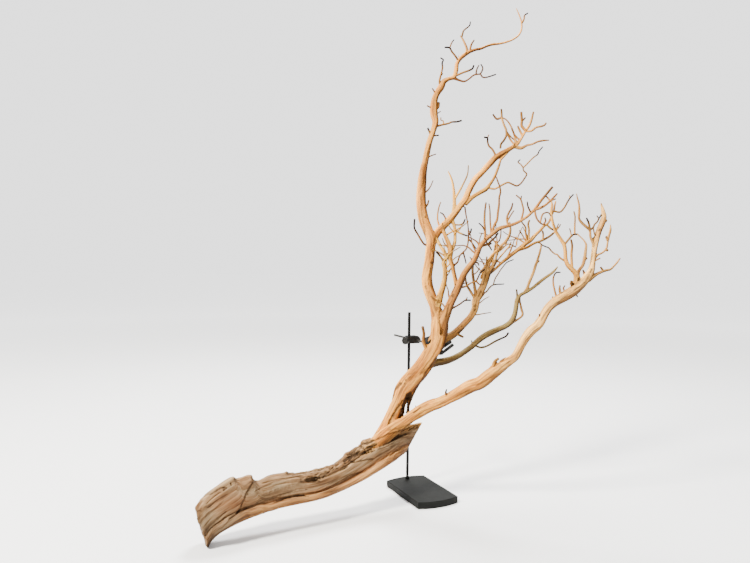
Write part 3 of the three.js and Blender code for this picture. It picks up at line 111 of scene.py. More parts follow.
# Limbs: the name, and points of across, down, depth in mm, radius in mm
LIMBS = {
    "mainStem": [
        [378, 445, -205, 24], [387, 429, -188, 24], [394, 414, -172, 23], [400, 399, -160, 24],
        [404.5, 389, -152, 27], [411.5, 380, -145, 27], [420, 370, -137, 26], [427.4, 359.5, -130, 25],
        [433, 350, -126, 24.5], [437.5, 340, -125, 24.5], [439, 330, -125, 24], [439, 320, -125, 22.5],
    ],
    "leftStem": [
        [438.8, 326, -125, 20], [437, 315, -123, 18], [434.5, 305, -121, 17.5], [431, 297, -119, 17.5],
        [428, 289, -117, 18], [426.7, 281, -115, 18], [427.3, 272, -113, 17], [429, 262, -111, 16.5],
        [430.4, 250, -108, 16], [431, 240, -106, 15.6], [427.6, 230, -102, 15], [423.8, 220, -98, 14.6],
        [421.9, 210, -94, 14.4], [421.2, 200, -90, 14.4], [421.4, 190, -87, 14.4], [422.2, 180, -84, 13.4],
        [423.5, 170, -81, 12.2], [425.6, 160, -78, 11.4], [427.5, 150, -75, 10.6], [430, 140, -72, 9.6],
        [433.6, 130, -69, 9.4], [435.4, 122, -66, 9.6], [433.9, 114, -64, 11.6], [433.9, 106, -62, 11],
        [434.8, 99, -60, 9.6], [437.2, 93, -58, 9.4], [441.2, 87, -56, 10.4], [444, 81.5, -54, 9],
        [449, 78.8, -52, 6.5], [454, 77, -50, 7], [456.3, 70, -48, 7.2], [457, 64, -46, 6.6],
        [460, 59, -43, 6.5], [464.5, 55, -40, 7], [469, 52, -36, 6.2], [475, 49.8, -32, 4.8],
        [481, 48.5, -27, 4.5], [487, 46, -22, 4.2], [492, 44.5, -18, 4.4], [500, 43.6, -12, 3.8],
        [508, 41.5, -6, 3.5], [514, 38.8, -1, 3.3], [519, 34.8, 3, 3.1], [521.5, 29.5, 6, 3.1],
        [521.6, 23, 8, 3], [520, 17, 10, 2.6], [516.4, 8.5, 12, 1.9],
    ],
    "secondStem": [
        [431, 244, -107, 13], [436.5, 234, -102, 12], [443, 226.5, -95, 12], [450, 219.5, -87, 11.5],
        [455.5, 212.5, -79, 11.2], [460.2, 206, -71, 10.8], [465, 199.5, -62, 10.6],
        [468.5, 191.5, -54, 10.5], [472, 184.5, -46, 10.4], [476, 178.5, -38, 10], [481, 173.5, -28, 9.6],
        [486, 168, -18, 9.6], [490.5, 163, -9, 9.5], [495, 158, -1, 9.5], [500, 154.5, 7, 9],
        [506, 151, 15, 8], [512, 147.5, 22, 7.2], [517, 144, 27, 6.6], [520.5, 139.5, 31, 5.2],
        [523.5, 134.5, 34, 4.6], [526.3, 130, 37, 3.8],
    ],
    "rejoiningLimb": [
        [465, 204, -66, 8], [473, 196.8, -62, 7], [480, 192.5, -56, 7], [486, 189, -50, 7.4],
        [490, 184, -42, 5.6], [494, 178, -30, 5], [497, 171, -18, 4.6], [499.3, 164.5, -8, 4.2],
        [500.6, 160, 0, 4], [504, 156.3, 8, 3.8], [509, 151, 18, 3.6],
    ],
    "middleLimb": [
        [440, 334, -128, 19], [443, 322, -134, 16], [447, 311.5, -142, 14], [450.5, 303, -150, 13.5],
        [454.5, 295, -157, 13.8], [458, 287.5, -164, 13], [461.5, 280, -170, 11.5],
        [465, 272.5, -177, 10.4], [469.5, 266.5, -184, 9.6], [473.5, 261.5, -190, 9],
        [477, 254.5, -196, 8.2], [480, 247, -202, 7.2], [485, 240.5, -209, 6.8], [492, 234.3, -217, 6.4],
        [499.5, 228.5, -224, 6.6], [508, 226, -231, 5.2], [514, 224, -236, 5], [521, 220.6, -242, 4.6],
        [527.5, 216.3, -248, 4.4], [534.5, 210, -253, 4.8], [541, 207.6, -258, 4.4],
        [546, 204.6, -261, 3.8], [550.5, 200.6, -264, 3.6], [557.3, 193.4, -268, 2.8],
    ],
    "backLimb": [
        [437, 345, -118, 15], [445.4, 339.6, -96, 12.4], [452.6, 335, -84, 12], [459.8, 328.8, -74, 12],
        [465.8, 322.4, -66, 12], [471, 316.4, -60, 12.2], [474.8, 309, -55, 12.8],
        [476.2, 300.5, -49, 13.4], [479.4, 293.5, -44, 12.4], [482.8, 287, -38, 11.4],
        [485.5, 280, -32, 10.4], [488.2, 273, -25, 9], [492, 266.5, -18, 5.6], [495.6, 259.5, -24, 4.4],
        [497, 252.5, -34, 4.2], [500, 246.8, -46, 4.4], [505, 242.2, -60, 5.2], [509, 236, -76, 4.8],
        [510.4, 229.5, -92, 4], [509.5, 222, -104, 3],
    ],
    "upperBackLimb": [
        [489, 274, -20, 6], [495.4, 268.8, -8, 4.8], [501.4, 263, 4, 5.4], [507, 258.4, 14, 6.4],
        [513, 253.4, 24, 7], [519.5, 248.5, 34, 7], [525.5, 243.6, 44, 8], [530.5, 240.2, 50, 7.4],
        [535, 235.4, 56, 6], [540, 230.5, 62, 5.2], [544, 226, 66, 5.2], [548, 223.4, 70, 4],
        [550.4, 219, 74, 4], [551.8, 214.6, 77, 4], [553.8, 210.6, 80, 3.8], [554.7, 205.4, 83, 3.6],
        [555.8, 201, 86, 2.8],
    ],
    "innerLowerLimb": [
        [426, 365, -124, 15], [435, 363.2, -104, 12], [446, 361, -84, 11.4], [456, 357, -66, 10.5],
        [465, 351.5, -50, 9.6], [473, 345.4, -37, 9.4], [481, 338.5, -25, 9.8], [489, 333.5, -13, 9.8],
        [498, 329.4, -2, 9.2], [505.5, 326.2, 8, 9.2], [511, 321.6, 16, 9], [514.6, 314.5, 23, 8.4],
        [516, 307, 29, 8], [517.3, 299.6, 35, 8], [520, 295.3, 41, 6.6], [526, 292, 50, 6],
        [532, 288.4, 58, 5.6], [538, 283.5, 66, 6], [545, 278, 74, 5.4], [550, 274.5, 80, 5],
        [554, 271.2, 84, 4.4], [557.6, 266.8, 88, 2.5],
    ],
    "innerLowerFork": [
        [523, 294, 46, 5.5], [527, 288.5, 56, 5.2], [529.6, 281.5, 66, 5.4], [533, 273.5, 76, 5.4],
        [535.6, 265.5, 86, 5.2], [538, 258.5, 94, 4.6], [540.2, 250.5, 100, 4.2], [541, 244, 104, 3.2],
        [537, 242.2, 100, 2.6],
    ],
    "splitStrand": [
        [510, 323.5, 12, 6], [518, 319.2, 26, 4], [522.6, 314.6, 34, 4.4], [521.4, 309, 38, 4.4],
        [520, 302, 40, 3.6], [519.5, 297, 41, 4],
    ],
    "outerArm": [
        [368, 453, -228, 22], [380, 440.5, -214, 21], [392, 430.5, -203, 20], [404, 422.5, -197, 19],
        [415, 414.5, -198, 18.5], [428, 407, -204, 18.5], [440, 402.4, -211, 16.8],
        [450, 397.6, -218, 15.8], [460, 392, -226, 16.4], [470, 386.2, -234, 18.4],
        [480, 382.4, -241, 19.2], [489.5, 375, -247, 19], [499.8, 367.8, -252, 17], [508, 362, -256, 14.4],
        [515, 356.4, -259, 13], [520.2, 347.6, -262, 12.6], [525, 338.6, -264, 13],
        [530.6, 331.2, -266, 13.8], [537.6, 325.2, -267, 13.2], [543, 317, -267, 12.2],
        [548, 308.6, -267, 11.6], [555, 302, -265, 12.4], [563, 297.2, -261, 13.6],
        [571, 292.4, -257, 14.6], [577.4, 287.6, -254, 14.6], [582.6, 282.6, -250, 14.2],
        [587, 277.2, -247, 13.4], [591, 270.6, -244, 11], [592.6, 263, -242, 8.4], [594, 252, -240, 8.2],
        [595.6, 242, -239, 9], [599, 230.5, -238, 8.6], [602.6, 222, -237, 8.8], [604, 216.5, -236, 7.4],
        [602.8, 210, -236, 5.4], [601, 203, -236, 1.8],
    ],
    "forkLimb": [
        [571, 294, -256, 10], [575, 286, -254, 10], [577, 279.6, -250, 9.6], [576, 274, -246, 8.6],
        [572.4, 269.8, -242, 7.6], [568.2, 265.6, -238, 7], [565.8, 260, -233, 6.2], [565.2, 252, -229, 6],
        [564.2, 245, -225, 6.2], [560, 238, -218, 5.6], [556.2, 232, -212, 5.2], [553.8, 226, -208, 4.6],
        [552, 219, -204, 4.4], [551.2, 212, -200, 4.4], [552, 205, -197, 3.8], [551.2, 200.5, -195, 2.4],
    ],
    "forkRightLimb": [
        [577, 277, -249, 7], [579, 270.4, -250, 5.2], [582.6, 265.4, -252, 5], [584.6, 258.6, -256, 5.4],
        [585.6, 251, -260, 4.6], [586, 244, -264, 3.4], [583, 239.4, -260, 2.6], [577.5, 234.2, -250, 2.4],
    ],
    "rightSideLimb": [
        [594.5, 249, -240, 5], [592.6, 242.5, -243, 4.4], [590.4, 236.5, -247, 4.2],
        [589.8, 230.4, -251, 4.2], [586, 226.6, -256, 4.6], [582, 223, -260, 4.2], [579, 218.6, -264, 3.8],
        [579.2, 212, -268, 4], [579, 205, -271, 3.2], [577.7, 199, -273, 2.6], [576.4, 193.6, -275, 1.8],
    ],
    "outermostLimb": [
        [588, 280, -248, 8], [595.4, 274.8, -242, 5.6], [601.6, 271.8, -234, 4.6],
        [606.2, 270.3, -226, 4.2], [610.4, 269.4, -218, 3.6], [614, 266, -210, 3.2],
        [617.2, 262.4, -204, 3.2], [620, 258.4, -198, 2.4],
    ],
    "rightSpike": [
        [593.4, 260, -242, 5], [598, 254.8, -246, 3.6], [602.6, 252.6, -251, 3.2],
        [606.4, 248.4, -256, 3.2], [607.5, 243, -260, 3.2], [608.8, 236, -264, 4], [610.4, 230, -268, 3.8],
        [610.4, 224.6, -271, 1.8],
    ],
    "crossLimb": [
        [457, 290, -162, 8.5], [455.6, 281, -154, 6.8], [453.8, 273, -148, 6.6], [452.2, 265.5, -143, 6.8],
        [450.2, 258.5, -138, 7.4], [450.6, 250.5, -131, 9], [448.4, 243, -122, 7.8],
        [445.4, 236, -112, 6.6], [442.6, 228.5, -98, 6.4],
    ],
    "paleBridge": [
        [434, 236, -106, 7], [439.6, 244.5, -116, 5.4], [444.4, 252.5, -127, 5.2],
        [449.4, 258.5, -137, 5.6],
    ],
    "crotchLimb": [
        [437.5, 306, -128, 11], [440.4, 295, -134, 9.8], [443.4, 285.5, -139, 8.6], [445, 276.5, -142, 8],
        [444.8, 268.5, -144, 7.4], [443.6, 262, -145, 6.2], [446.6, 257.6, -141, 5.4],
        [450.4, 257, -138, 5],
    ],
    "innerLoop": [
        [451.5, 218.5, -86, 7], [454.2, 226, -92, 5.4], [455, 234, -100, 5.2], [454.8, 241.5, -110, 5.4],
        [452.6, 249, -124, 6],
    ],
    "paleLimb": [
        [451, 220, -86, 7], [453.6, 212.5, -80, 6.8], [454.4, 205, -73, 6.2], [454.2, 197, -64, 5.6],
        [453.6, 189, -56, 4.6], [452.4, 182, -48, 4], [450.4, 176, -42, 3.2], [448, 171.2, -36, 2],
    ],
    "plumeLimb": [
        [454, 78, -50, 6], [459, 80.2, -56, 4], [464.6, 81.4, -64, 3.4], [469.4, 78.6, -72, 3],
        [474, 75, -79, 3], [480.5, 74, -86, 2.8],
    ],
    "topSpray": [
        [466, 54.5, -39, 6], [466.8, 49, -34, 4.6], [464.6, 43, -28, 3.8], [461.6, 37.4, -22, 3],
        [460.2, 35.8, -20, 2],
    ],
    "bunchLimb": [
        [514, 146.5, 24, 6], [521, 148, 18, 6], [526.8, 145.4, 10, 4.2], [532, 144.2, 2, 3.8],
        [538, 141.6, -6, 3.6], [543, 140.6, -12, 3.6], [549, 140.2, -18, 2.2],
    ],
    "twinLimb": [
        [488.6, 275, -27, 5], [493.4, 267.6, -18, 3.6], [497, 261, -8, 3.2], [500.6, 256.4, 2, 3.2],
        [504.4, 252, 12, 3], [508.4, 248, 22, 2.8], [516.4, 245.6, 34, 1.6],
    ],
    "backStrand": [
        [482, 279, -34, 8], [485, 268.6, -44, 5.6], [488.6, 260.4, -54, 5], [492.6, 254.6, -62, 4.6],
        [497.2, 250.4, -56, 4.6],
    ],
    "loopTwig": [
        [516, 144.5, 26, 5], [514.6, 136.5, 32, 4.2], [512.6, 130, 38, 3.2], [509.6, 124, 44, 3],
        [506, 119.6, 50, 2.8], [501.2, 117.2, 56, 2.8],
    ],
    "climbingTwig": [
        [454, 271, -147, 5], [453.8, 265.8, -140, 4], [457.6, 262, -132, 3.2], [459.6, 256, -124, 3],
        [463, 252.4, -116, 3.4], [466.4, 248.6, -108, 2.8], [468.2, 241, -98, 3], [468.4, 233, -90, 2.8],
        [467.8, 224, -82, 2.6], [466, 215, -74, 2.8], [464.9, 207, -68, 3],
    ],
    "stemLobe": [
        [441.5, 345, -122, 9], [445.4, 335, -119, 6.4], [447.2, 326, -117, 4.4], [447.2, 320, -116, 2.2],
    ],
    "stemSliver": [
        [419, 376, -146, 12], [415.6, 385, -150, 10], [412, 393, -155, 8], [410, 401, -160, 5],
        [408.2, 408, -164, 3], [405.8, 413.4, -168, 1.8],
    ],
    "stemFlank": [
        [412, 371, -140, 10], [404.6, 380, -142, 12], [399.4, 388, -148, 12], [396, 397, -156, 11],
        [393.6, 407, -164, 9], [390.4, 417, -172, 8],
    ],
    "hollowPanel": [
        [391, 427, -186, 7], [396.4, 418, -180, 8], [400.8, 410, -172, 8], [404.4, 402, -164, 8],
        [408, 394, -154, 7],
    ],
    "hollowSliver": [
        [406.5, 396, -152, 6], [404.8, 405, -158, 3], [403.2, 414, -166, 3.4], [400, 421, -178, 5],
    ],
}

# Twigs: the limb or twig each grows from, lean away from the eye in mm, root radius, tip radius, points
TWIGS = {
    "lowerSpur": ["backLimb", -8, 4, 2.6, [[455, 334], [459.4, 335.2], [463.4, 337.2]]],
    "armKnots": ["outerArm", 4, 7, 4, [[486, 375], [492, 368], [497.4, 363]]],
    "armCrest": ["outerArm", -4, 6, 3.6, [[497, 369], [502, 361.4], [506.6, 358.4]]],
    "webHook": ["middleLimb", 12, 3.4, 2.2, [[480.4, 247.4], [484.4, 245.2], [488, 244.2], [491.4, 240.6],
        [495, 237.4], [498, 233]]],
    "webPeg": ["webHook", 6, 2.6, 1.8, [[487.6, 244.4], [489.6, 246.6], [491.6, 250]]],
    "webSlip": ["middleLimb", 22, 2.6, 1.6, [[476.6, 262], [478, 263.4], [478.8, 265.4]]],
    "webCross": ["backStrand", -18, 3, 1.8, [[486.6, 264.4], [484.6, 266.8], [482.8, 269], [479.8, 272.6]]],
    "webRise": ["backStrand", 12, 2.8, 1.8, [[487.8, 262], [490.6, 257.8], [493.2, 255.4]]],
    "webPale": ["backLimb", -16, 2.6, 1.6, [[497, 251], [494.8, 246.4], [496.6, 243.6], [499.2, 240.6],
        [500.6, 236], [501, 230]]],
    "thornUp": ["twinLimb", -10, 2.6, 1.6, [[507.6, 248.6], [509.6, 245.6], [511, 242]]],
    "armWeb": ["outerArm", 6, 4, 2, [[582.6, 279], [584.4, 273.8], [583, 270.4]]],
    "hookTip": ["leftStem", -8, 2.4, 1.8, [[521.8, 23.5], [524, 19], [524.5, 15.5], [527.7, 13.2]]],
    "sprayTip": ["topSpray", 16, 2.4, 1.6, [[462, 37.4], [463.5, 31], [465, 29.4], [469.6, 25.4],
        [470.4, 22]]],
    "sprayStub": ["leftStem", -14, 3, 1.8, [[469.2, 50.5], [471.4, 44.5], [473.9, 40.3]]],
    "leftFork": ["leftStem", -22, 3, 2, [[457.5, 61], [456, 57], [452, 51.8], [449.5, 47.8], [445, 47.3]]],
    "leftForkTip": ["leftFork", 8, 2, 1.5, [[449.7, 48], [451.6, 43], [453.8, 40]]],
    "darkSpur": ["leftStem", -34, 3, 2.2, [[456.4, 77], [458.5, 74.5], [463, 72.6], [470, 70],
        [472.6, 68.4], [473.8, 65.3]]],
    "plumeUp": ["plumeLimb", -10, 2.2, 1.5, [[475.6, 74], [476.8, 69.5], [478.8, 65.4]]],
    "plumeCurl": ["plumeLimb", 14, 2.2, 1.6, [[480, 74], [481.5, 72], [482.8, 68], [481, 64.4]]],
    "plumeTip": ["plumeLimb", -16, 2.2, 1.7, [[480.2, 74.2], [482.5, 77], [485.2, 77.5], [491, 76],
        [495.7, 74.5]]],
    "leftReed": ["leftStem", -26, 3, 1.8, [[439.5, 87], [439.4, 82], [440.2, 77.5], [441.3, 73.5],
        [442.5, 67.5], [442.2, 62.6], [443.4, 60], [440.8, 58]]],
    "reedStub": ["leftReed", 4, 1.8, 1.5, [[440.5, 76.5], [442.6, 73.6]]],
    "leftThorn": ["leftStem", -8, 3, 1.6, [[434.5, 94], [432.4, 88.6]]],
    "brokenStub": ["leftStem", 6, 4.6, 3.6, [[436.5, 111], [438, 106.5], [438.8, 102.6]]],
    "leftNub": ["leftStem", -6, 2.6, 1.8, [[431, 109.5], [427.4, 105.8]]],
    "rightNub": ["leftStem", 6, 2, 1.4, [[437.6, 115], [440.4, 111.4]]],
    "sideTwig": ["leftStem", 26, 3, 2.2, [[436.4, 127], [440, 125.3], [444.2, 124.3], [448.2, 123.4],
        [452, 122], [457, 121.7], [461.6, 120.5]]],
    "sideTwigTip": ["sideTwig", -6, 1.8, 1.5, [[443.4, 124.4], [443.2, 121], [441, 120.2], [440.8, 117.8]]],
    "leftPeg": ["leftStem", -8, 3, 2.4, [[430, 135.5], [427.7, 128]]],
    "rightPeg": ["leftStem", 8, 2.4, 2, [[434, 136.8], [438.4, 135.3]]],
    "rightWisp": ["leftStem", 12, 2, 1.4, [[428, 158], [432, 155.4], [435.8, 154.1]]],
    "stemWisp": ["leftStem", 18, 2.6, 1.3, [[424.6, 195], [427, 191], [430.5, 186.4], [433, 180.6]]],
    "stemPeg": ["leftStem", 10, 3, 2, [[426, 210], [427.4, 204.6], [428.6, 200.6]]],
    "hookTwig": ["leftStem", -30, 2.8, 2.2, [[428, 245.5], [424.6, 244.4], [422, 241.4], [417.6, 234],
        [414.4, 228], [414.6, 219]]],
    "farWisp": ["secondStem", 30, 2.6, 1.6, [[440.6, 229], [438, 222], [437.6, 215], [439, 207],
        [440.6, 202.4]]],
    "nearWisp": ["secondStem", -18, 2.2, 1.6, [[447.5, 222], [443.4, 214.6], [440.4, 212.6]]],
    "paleFork": ["paleLimb", 20, 3.2, 1.5, [[454.6, 200], [457.4, 194.4], [460, 190], [463, 184.4],
        [466, 178.4], [467.6, 174], [468.4, 165.6]]],
    "darkCross": ["innerLoop", -40, 2.8, 2.2, [[455, 229.5], [458, 232], [463, 234.4], [467, 235.8]]],
    "crossTip": ["climbingTwig", -20, 2.2, 2, [[468.3, 236], [470.6, 232], [471.3, 229]]],
    "curlTwig": ["innerLoop", -18, 2.2, 1.8, [[454.6, 224.4], [460, 224.8], [463.6, 223], [465, 219.3]]],
    "climbSide": ["climbingTwig", -16, 2.2, 1.6, [[468.4, 238.6], [472, 243], [476, 248.4]]],
    "climbLow": ["climbingTwig", 16, 2.4, 1.6, [[463.6, 252.6], [464.6, 257], [466, 263.2]]],
    "midSpear": ["middleLimb", 26, 3.4, 2, [[484.6, 240.5], [485, 232], [484.5, 222], [484.8, 212],
        [485.5, 206], [486, 203]]],
    "midHook": ["midSpear", -14, 2, 1.5, [[485, 231], [482, 226], [479, 223.3]]],
    "midReed": ["middleLimb", 34, 2.4, 1.6, [[490.8, 235], [490.2, 222], [490, 214], [489.7, 208.5],
        [489, 204]]],
    "longReed": ["middleLimb", 60, 3.4, 1.8, [[491, 235], [494.4, 225], [497, 220], [498, 212],
        [499, 204.5], [499.2, 198], [500.4, 192], [499.8, 187], [497.6, 181], [496.4, 177.4]]],
    "twinReed": ["middleLimb", -16, 3, 1.9, [[508.2, 226], [507, 217.6], [509, 212.4], [511.5, 208],
        [512.6, 203.4]]],
    "twinReedTip": ["twinReed", -8, 2.2, 1.5, [[507.6, 221], [510.6, 215.4], [513.8, 210.8]]],
    "midTwig": ["middleLimb", 24, 2.6, 1.8, [[520.8, 220.8], [523.4, 210], [522.4, 205], [520.4, 199],
        [516.4, 195.4]]],
    "midTwigTip": ["midTwig", -4, 1.8, 1.5, [[520.6, 200], [521.4, 196.2]]],
    "smallPair": ["middleLimb", -18, 2.4, 1.6, [[531, 213], [528, 206.5], [527.3, 202]]],
    "upperFork": ["middleLimb", -16, 3.6, 2.6, [[534.6, 210], [541, 200.6], [546, 194.6], [552.6, 186.8]]],
    "forkPeg": ["middleLimb", 8, 2.4, 1.8, [[550, 201], [548, 198.2], [546, 196.2]]],
    "forkThorn": ["middleLimb", -8, 2, 1.5, [[550.4, 201], [555.6, 198.9]]],
    "hangingTwig": ["middleLimb", 40, 2.4, 1.8, [[485.6, 240.2], [488, 244.6], [491.4, 243.6]]],
    "lowTwig": ["middleLimb", -30, 2.6, 1.8, [[460, 289], [466, 286.2], [470, 283.4], [476, 281],
        [480, 273.6], [484.4, 269.4]]],
    "spanTwig": ["middleLimb", 60, 2.6, 2, [[448, 311.5], [454, 307.4], [460, 304], [465, 300.5],
        [470.5, 300.2]]],
    "spanStub": ["spanTwig", -4, 1.8, 1.4, [[465.4, 300.6], [467.2, 297.6]]],
    "backReed": ["backLimb", -30, 4.6, 2.6, [[475.6, 299], [474.6, 287], [473.4, 279], [472.6, 271],
        [473.4, 263], [476, 256]]],
    "backReedTwo": ["backLimb", -22, 4.2, 2.4, [[473.4, 299], [470, 290.6], [466.6, 284.6], [465.4, 277]]],
    "backThorn": ["backLimb", -26, 3.6, 2, [[482, 288], [483.6, 278], [486, 268], [486.8, 257]]],
    "backSpear": ["backLimb", 26, 3.8, 2.4, [[486.6, 277], [487.8, 268], [490.4, 262], [493.4, 255],
        [495.2, 247], [496, 241]]],
    "faintTwig": ["backLimb", 34, 2.6, 1.6, [[480, 296], [486, 292], [489.4, 287.8], [493.2, 285],
        [503.8, 284]]],
    "faintTwigUp": ["faintTwig", 24, 1.9, 1.5, [[493, 285], [495, 279], [498, 274], [502, 268],
        [507, 262.4], [513.4, 259.6]]],
    "clusterTwig": ["upperBackLimb", -14, 3, 1.8, [[527.4, 242], [525.6, 232], [525.5, 227.5], [522, 222.5],
        [520.6, 220]]],
    "clusterPeg": ["upperBackLimb", 12, 3.2, 2.4, [[528.4, 241], [529, 230], [528.2, 224], [529.6, 220.2]]],
    "clusterWisp": ["upperBackLimb", -10, 2.2, 1.6, [[526.5, 243], [522, 234.4], [519.4, 230.6]]],
    "farSpray": ["upperBackLimb", 14, 2.8, 2, [[554.2, 211.5], [560, 212], [564, 208], [568, 201],
        [570, 198], [573.2, 194.6]]],
    "farSprayTip": ["farSpray", 4, 1.8, 1.5, [[569.6, 198.8], [569.7, 195.6]]],
    "linkTwig": ["upperBackLimb", 30, 4.2, 2.8, [[516, 251], [521, 249.2], [527, 247.4], [531, 245],
        [535, 243], [540.4, 241.2], [545, 239], [550, 236], [553.6, 233]]],
    "linkPeg": ["linkTwig", -10, 3, 2.2, [[542.6, 240], [543.2, 234], [542.4, 230.8]]],
    "thinLink": ["forkLimb", 40, 2.4, 1.6, [[565.6, 263], [560, 257.8], [557, 254.4], [555, 254],
        [551.4, 251], [548.6, 247.8], [545, 246.4], [541.4, 244.6]]],
    "fallenTwig": ["outerArm", 34, 2.6, 1.6, [[556.6, 300], [554.6, 290], [553.2, 283], [553.6, 277],
        [556, 272.8], [560.2, 272.3]]],
    "forkReed": ["forkLimb", -14, 3.6, 2.2, [[571.8, 269.4], [571.5, 255], [572.1, 245], [571, 239.6]]],
    "forkCross": ["forkLimb", 14, 2.6, 2.2, [[565.4, 244.4], [569, 239], [571.6, 236], [574, 234.4],
        [577.6, 234.2]]],
    "forkUp": ["forkCross", 10, 2.4, 1.8, [[574.8, 234.6], [574.8, 225], [575, 216], [574, 211.8]]],
    "forkWisp": ["forkCross", -8, 1.8, 1.4, [[571.4, 236.4], [570.4, 231], [569.6, 228.6]]],
    "sideKnuckle": ["rightSideLimb", -10, 3, 2, [[590, 231], [589.4, 226], [588.4, 222], [586.6, 218.3]]],
    "sideFork": ["rightSideLimb", 12, 2.4, 1.7, [[590, 230.6], [593.4, 227], [594.4, 224.6], [597.4, 221.6],
        [599.2, 218], [601.2, 214.8]]],
    "sideForkTip": ["sideFork", -4, 1.7, 1.4, [[599, 218.6], [597, 215.8]]],
    "sideReturn": ["sideFork", 10, 2, 1.8, [[593.2, 227.4], [594.2, 233], [595, 236], [592.2, 239]]],
    "shortThorn": ["outerArm", -6, 2.2, 1.6, [[594, 262], [600, 258.2]]],
    "outerStub": ["outermostLimb", -4, 3, 2.2, [[603.6, 271.8], [600.6, 267.2]]],
    "knotStub": ["forkLimb", -12, 5, 3.4, [[574.6, 286], [571.6, 284], [571.4, 281.4]]],
    "lowStub": ["outerArm", 4, 2.6, 2, [[575, 292], [577.4, 296.4]]],
    "upperPeg": ["outerArm", -8, 2.4, 1.7, [[560.6, 297], [559.6, 285.8]]],
    "upperHook": ["outerArm", 8, 2.2, 1.6, [[567, 294], [563.4, 288.4], [564.8, 285.8]]],
    "armPeg": ["outerArm", 8, 2.4, 1.7, [[551, 304], [552.6, 296.8]]],
    "elbowPeg": ["outerArm", -6, 2.8, 2, [[540.6, 320], [539.4, 314.6]]],
    "armSpur": ["outerArm", -10, 3.4, 1.6, [[448.5, 396], [445.8, 393], [446.6, 389.6]]],
    "lowerTwig": ["innerLowerLimb", -34, 2.8, 2.4, [[474, 345], [480, 347.4], [486, 346.4], [494, 342],
        [500, 339], [506, 336.2], [508.4, 332.8]]],
    "lowerPeg": ["innerLowerLimb", 8, 3.8, 2.2, [[517, 299], [516.5, 289.4]]],
    "forkStub": ["innerLowerFork", -4, 2.4, 2, [[536.4, 264.4], [539.2, 261]]],
    "stemStick": ["mainStem", -22, 5, 3.4, [[429, 355], [425.4, 347.6], [423.3, 340.5], [423.9, 333.6],
        [422.5, 326.6]]],
    "crotchThorn": ["crotchLimb", -10, 3, 2, [[444.8, 267], [448, 271.6], [451, 268.6]]],
    "darkPeg": ["crotchLimb", -14, 3, 2.4, [[443.8, 262], [440.6, 256.6], [436.4, 252]]],
    "bunchCurl": ["loopTwig", 12, 2.4, 1.8, [[501.6, 117.4], [497, 119], [495, 117.4], [493, 114.4]]],
    "bunchTip": ["loopTwig", -6, 2.4, 1.9, [[501.4, 117.6], [501.6, 112.4], [501.3, 109]]],
    "bunchBow": ["loopTwig", -40, 2.4, 2.2, [[501.6, 118], [503.6, 124], [506.1, 130], [506.3, 135.4],
        [504, 140.2], [501, 144], [500.4, 148]]],
    "bunchPeg": ["secondStem", -10, 3.2, 2.4, [[525.6, 131], [521.6, 125.6], [521.8, 121], [521.2, 112]]],
    "bunchPegTip": ["bunchPeg", 4, 2, 1.8, [[521.8, 121.4], [525.2, 117.8]]],
    "bunchNub": ["secondStem", 8, 2.6, 1.9, [[522.6, 136], [519, 129], [517.8, 126.2]]],
    "bunchReed": ["secondStem", 10, 2.8, 1.9, [[526, 130.4], [529.6, 125], [532, 118], [533.4, 112]]],
    "bunchWave": ["secondStem", -16, 2.4, 1.7, [[525.6, 131.6], [531, 131], [536, 127.5], [541, 126.4],
        [544.6, 125], [546.2, 122.8]]],
    "stemFork": ["secondStem", -18, 3, 2.2, [[496.4, 156.4], [492, 149], [489, 146], [487.6, 141.4],
        [487.4, 138], [484.2, 137.2]]],
    "stemForkTip": ["stemFork", 4, 1.9, 1.6, [[487.4, 138.4], [488.6, 135]]],
    "swayTwig": ["rejoiningLimb", 24, 2.8, 1.9, [[488, 188], [494, 189], [498, 187.5], [502.4, 184.8],
        [508, 182.5], [512, 184], [516.6, 185.8], [520.4, 183.8], [524.2, 178.8], [526.6, 174],
        [523.6, 170.6], [523, 167]]],
    "swayLeft": ["swayTwig", 6, 1.9, 1.6, [[523.1, 167.6], [521, 164.6], [518, 162], [520, 159.8]]],
    "swayRight": ["swayTwig", -14, 2, 1.6, [[523.2, 167.8], [527, 164], [530.4, 160.4], [534, 157],
        [537.6, 154.4], [539, 151.4], [542.6, 147]]],
}

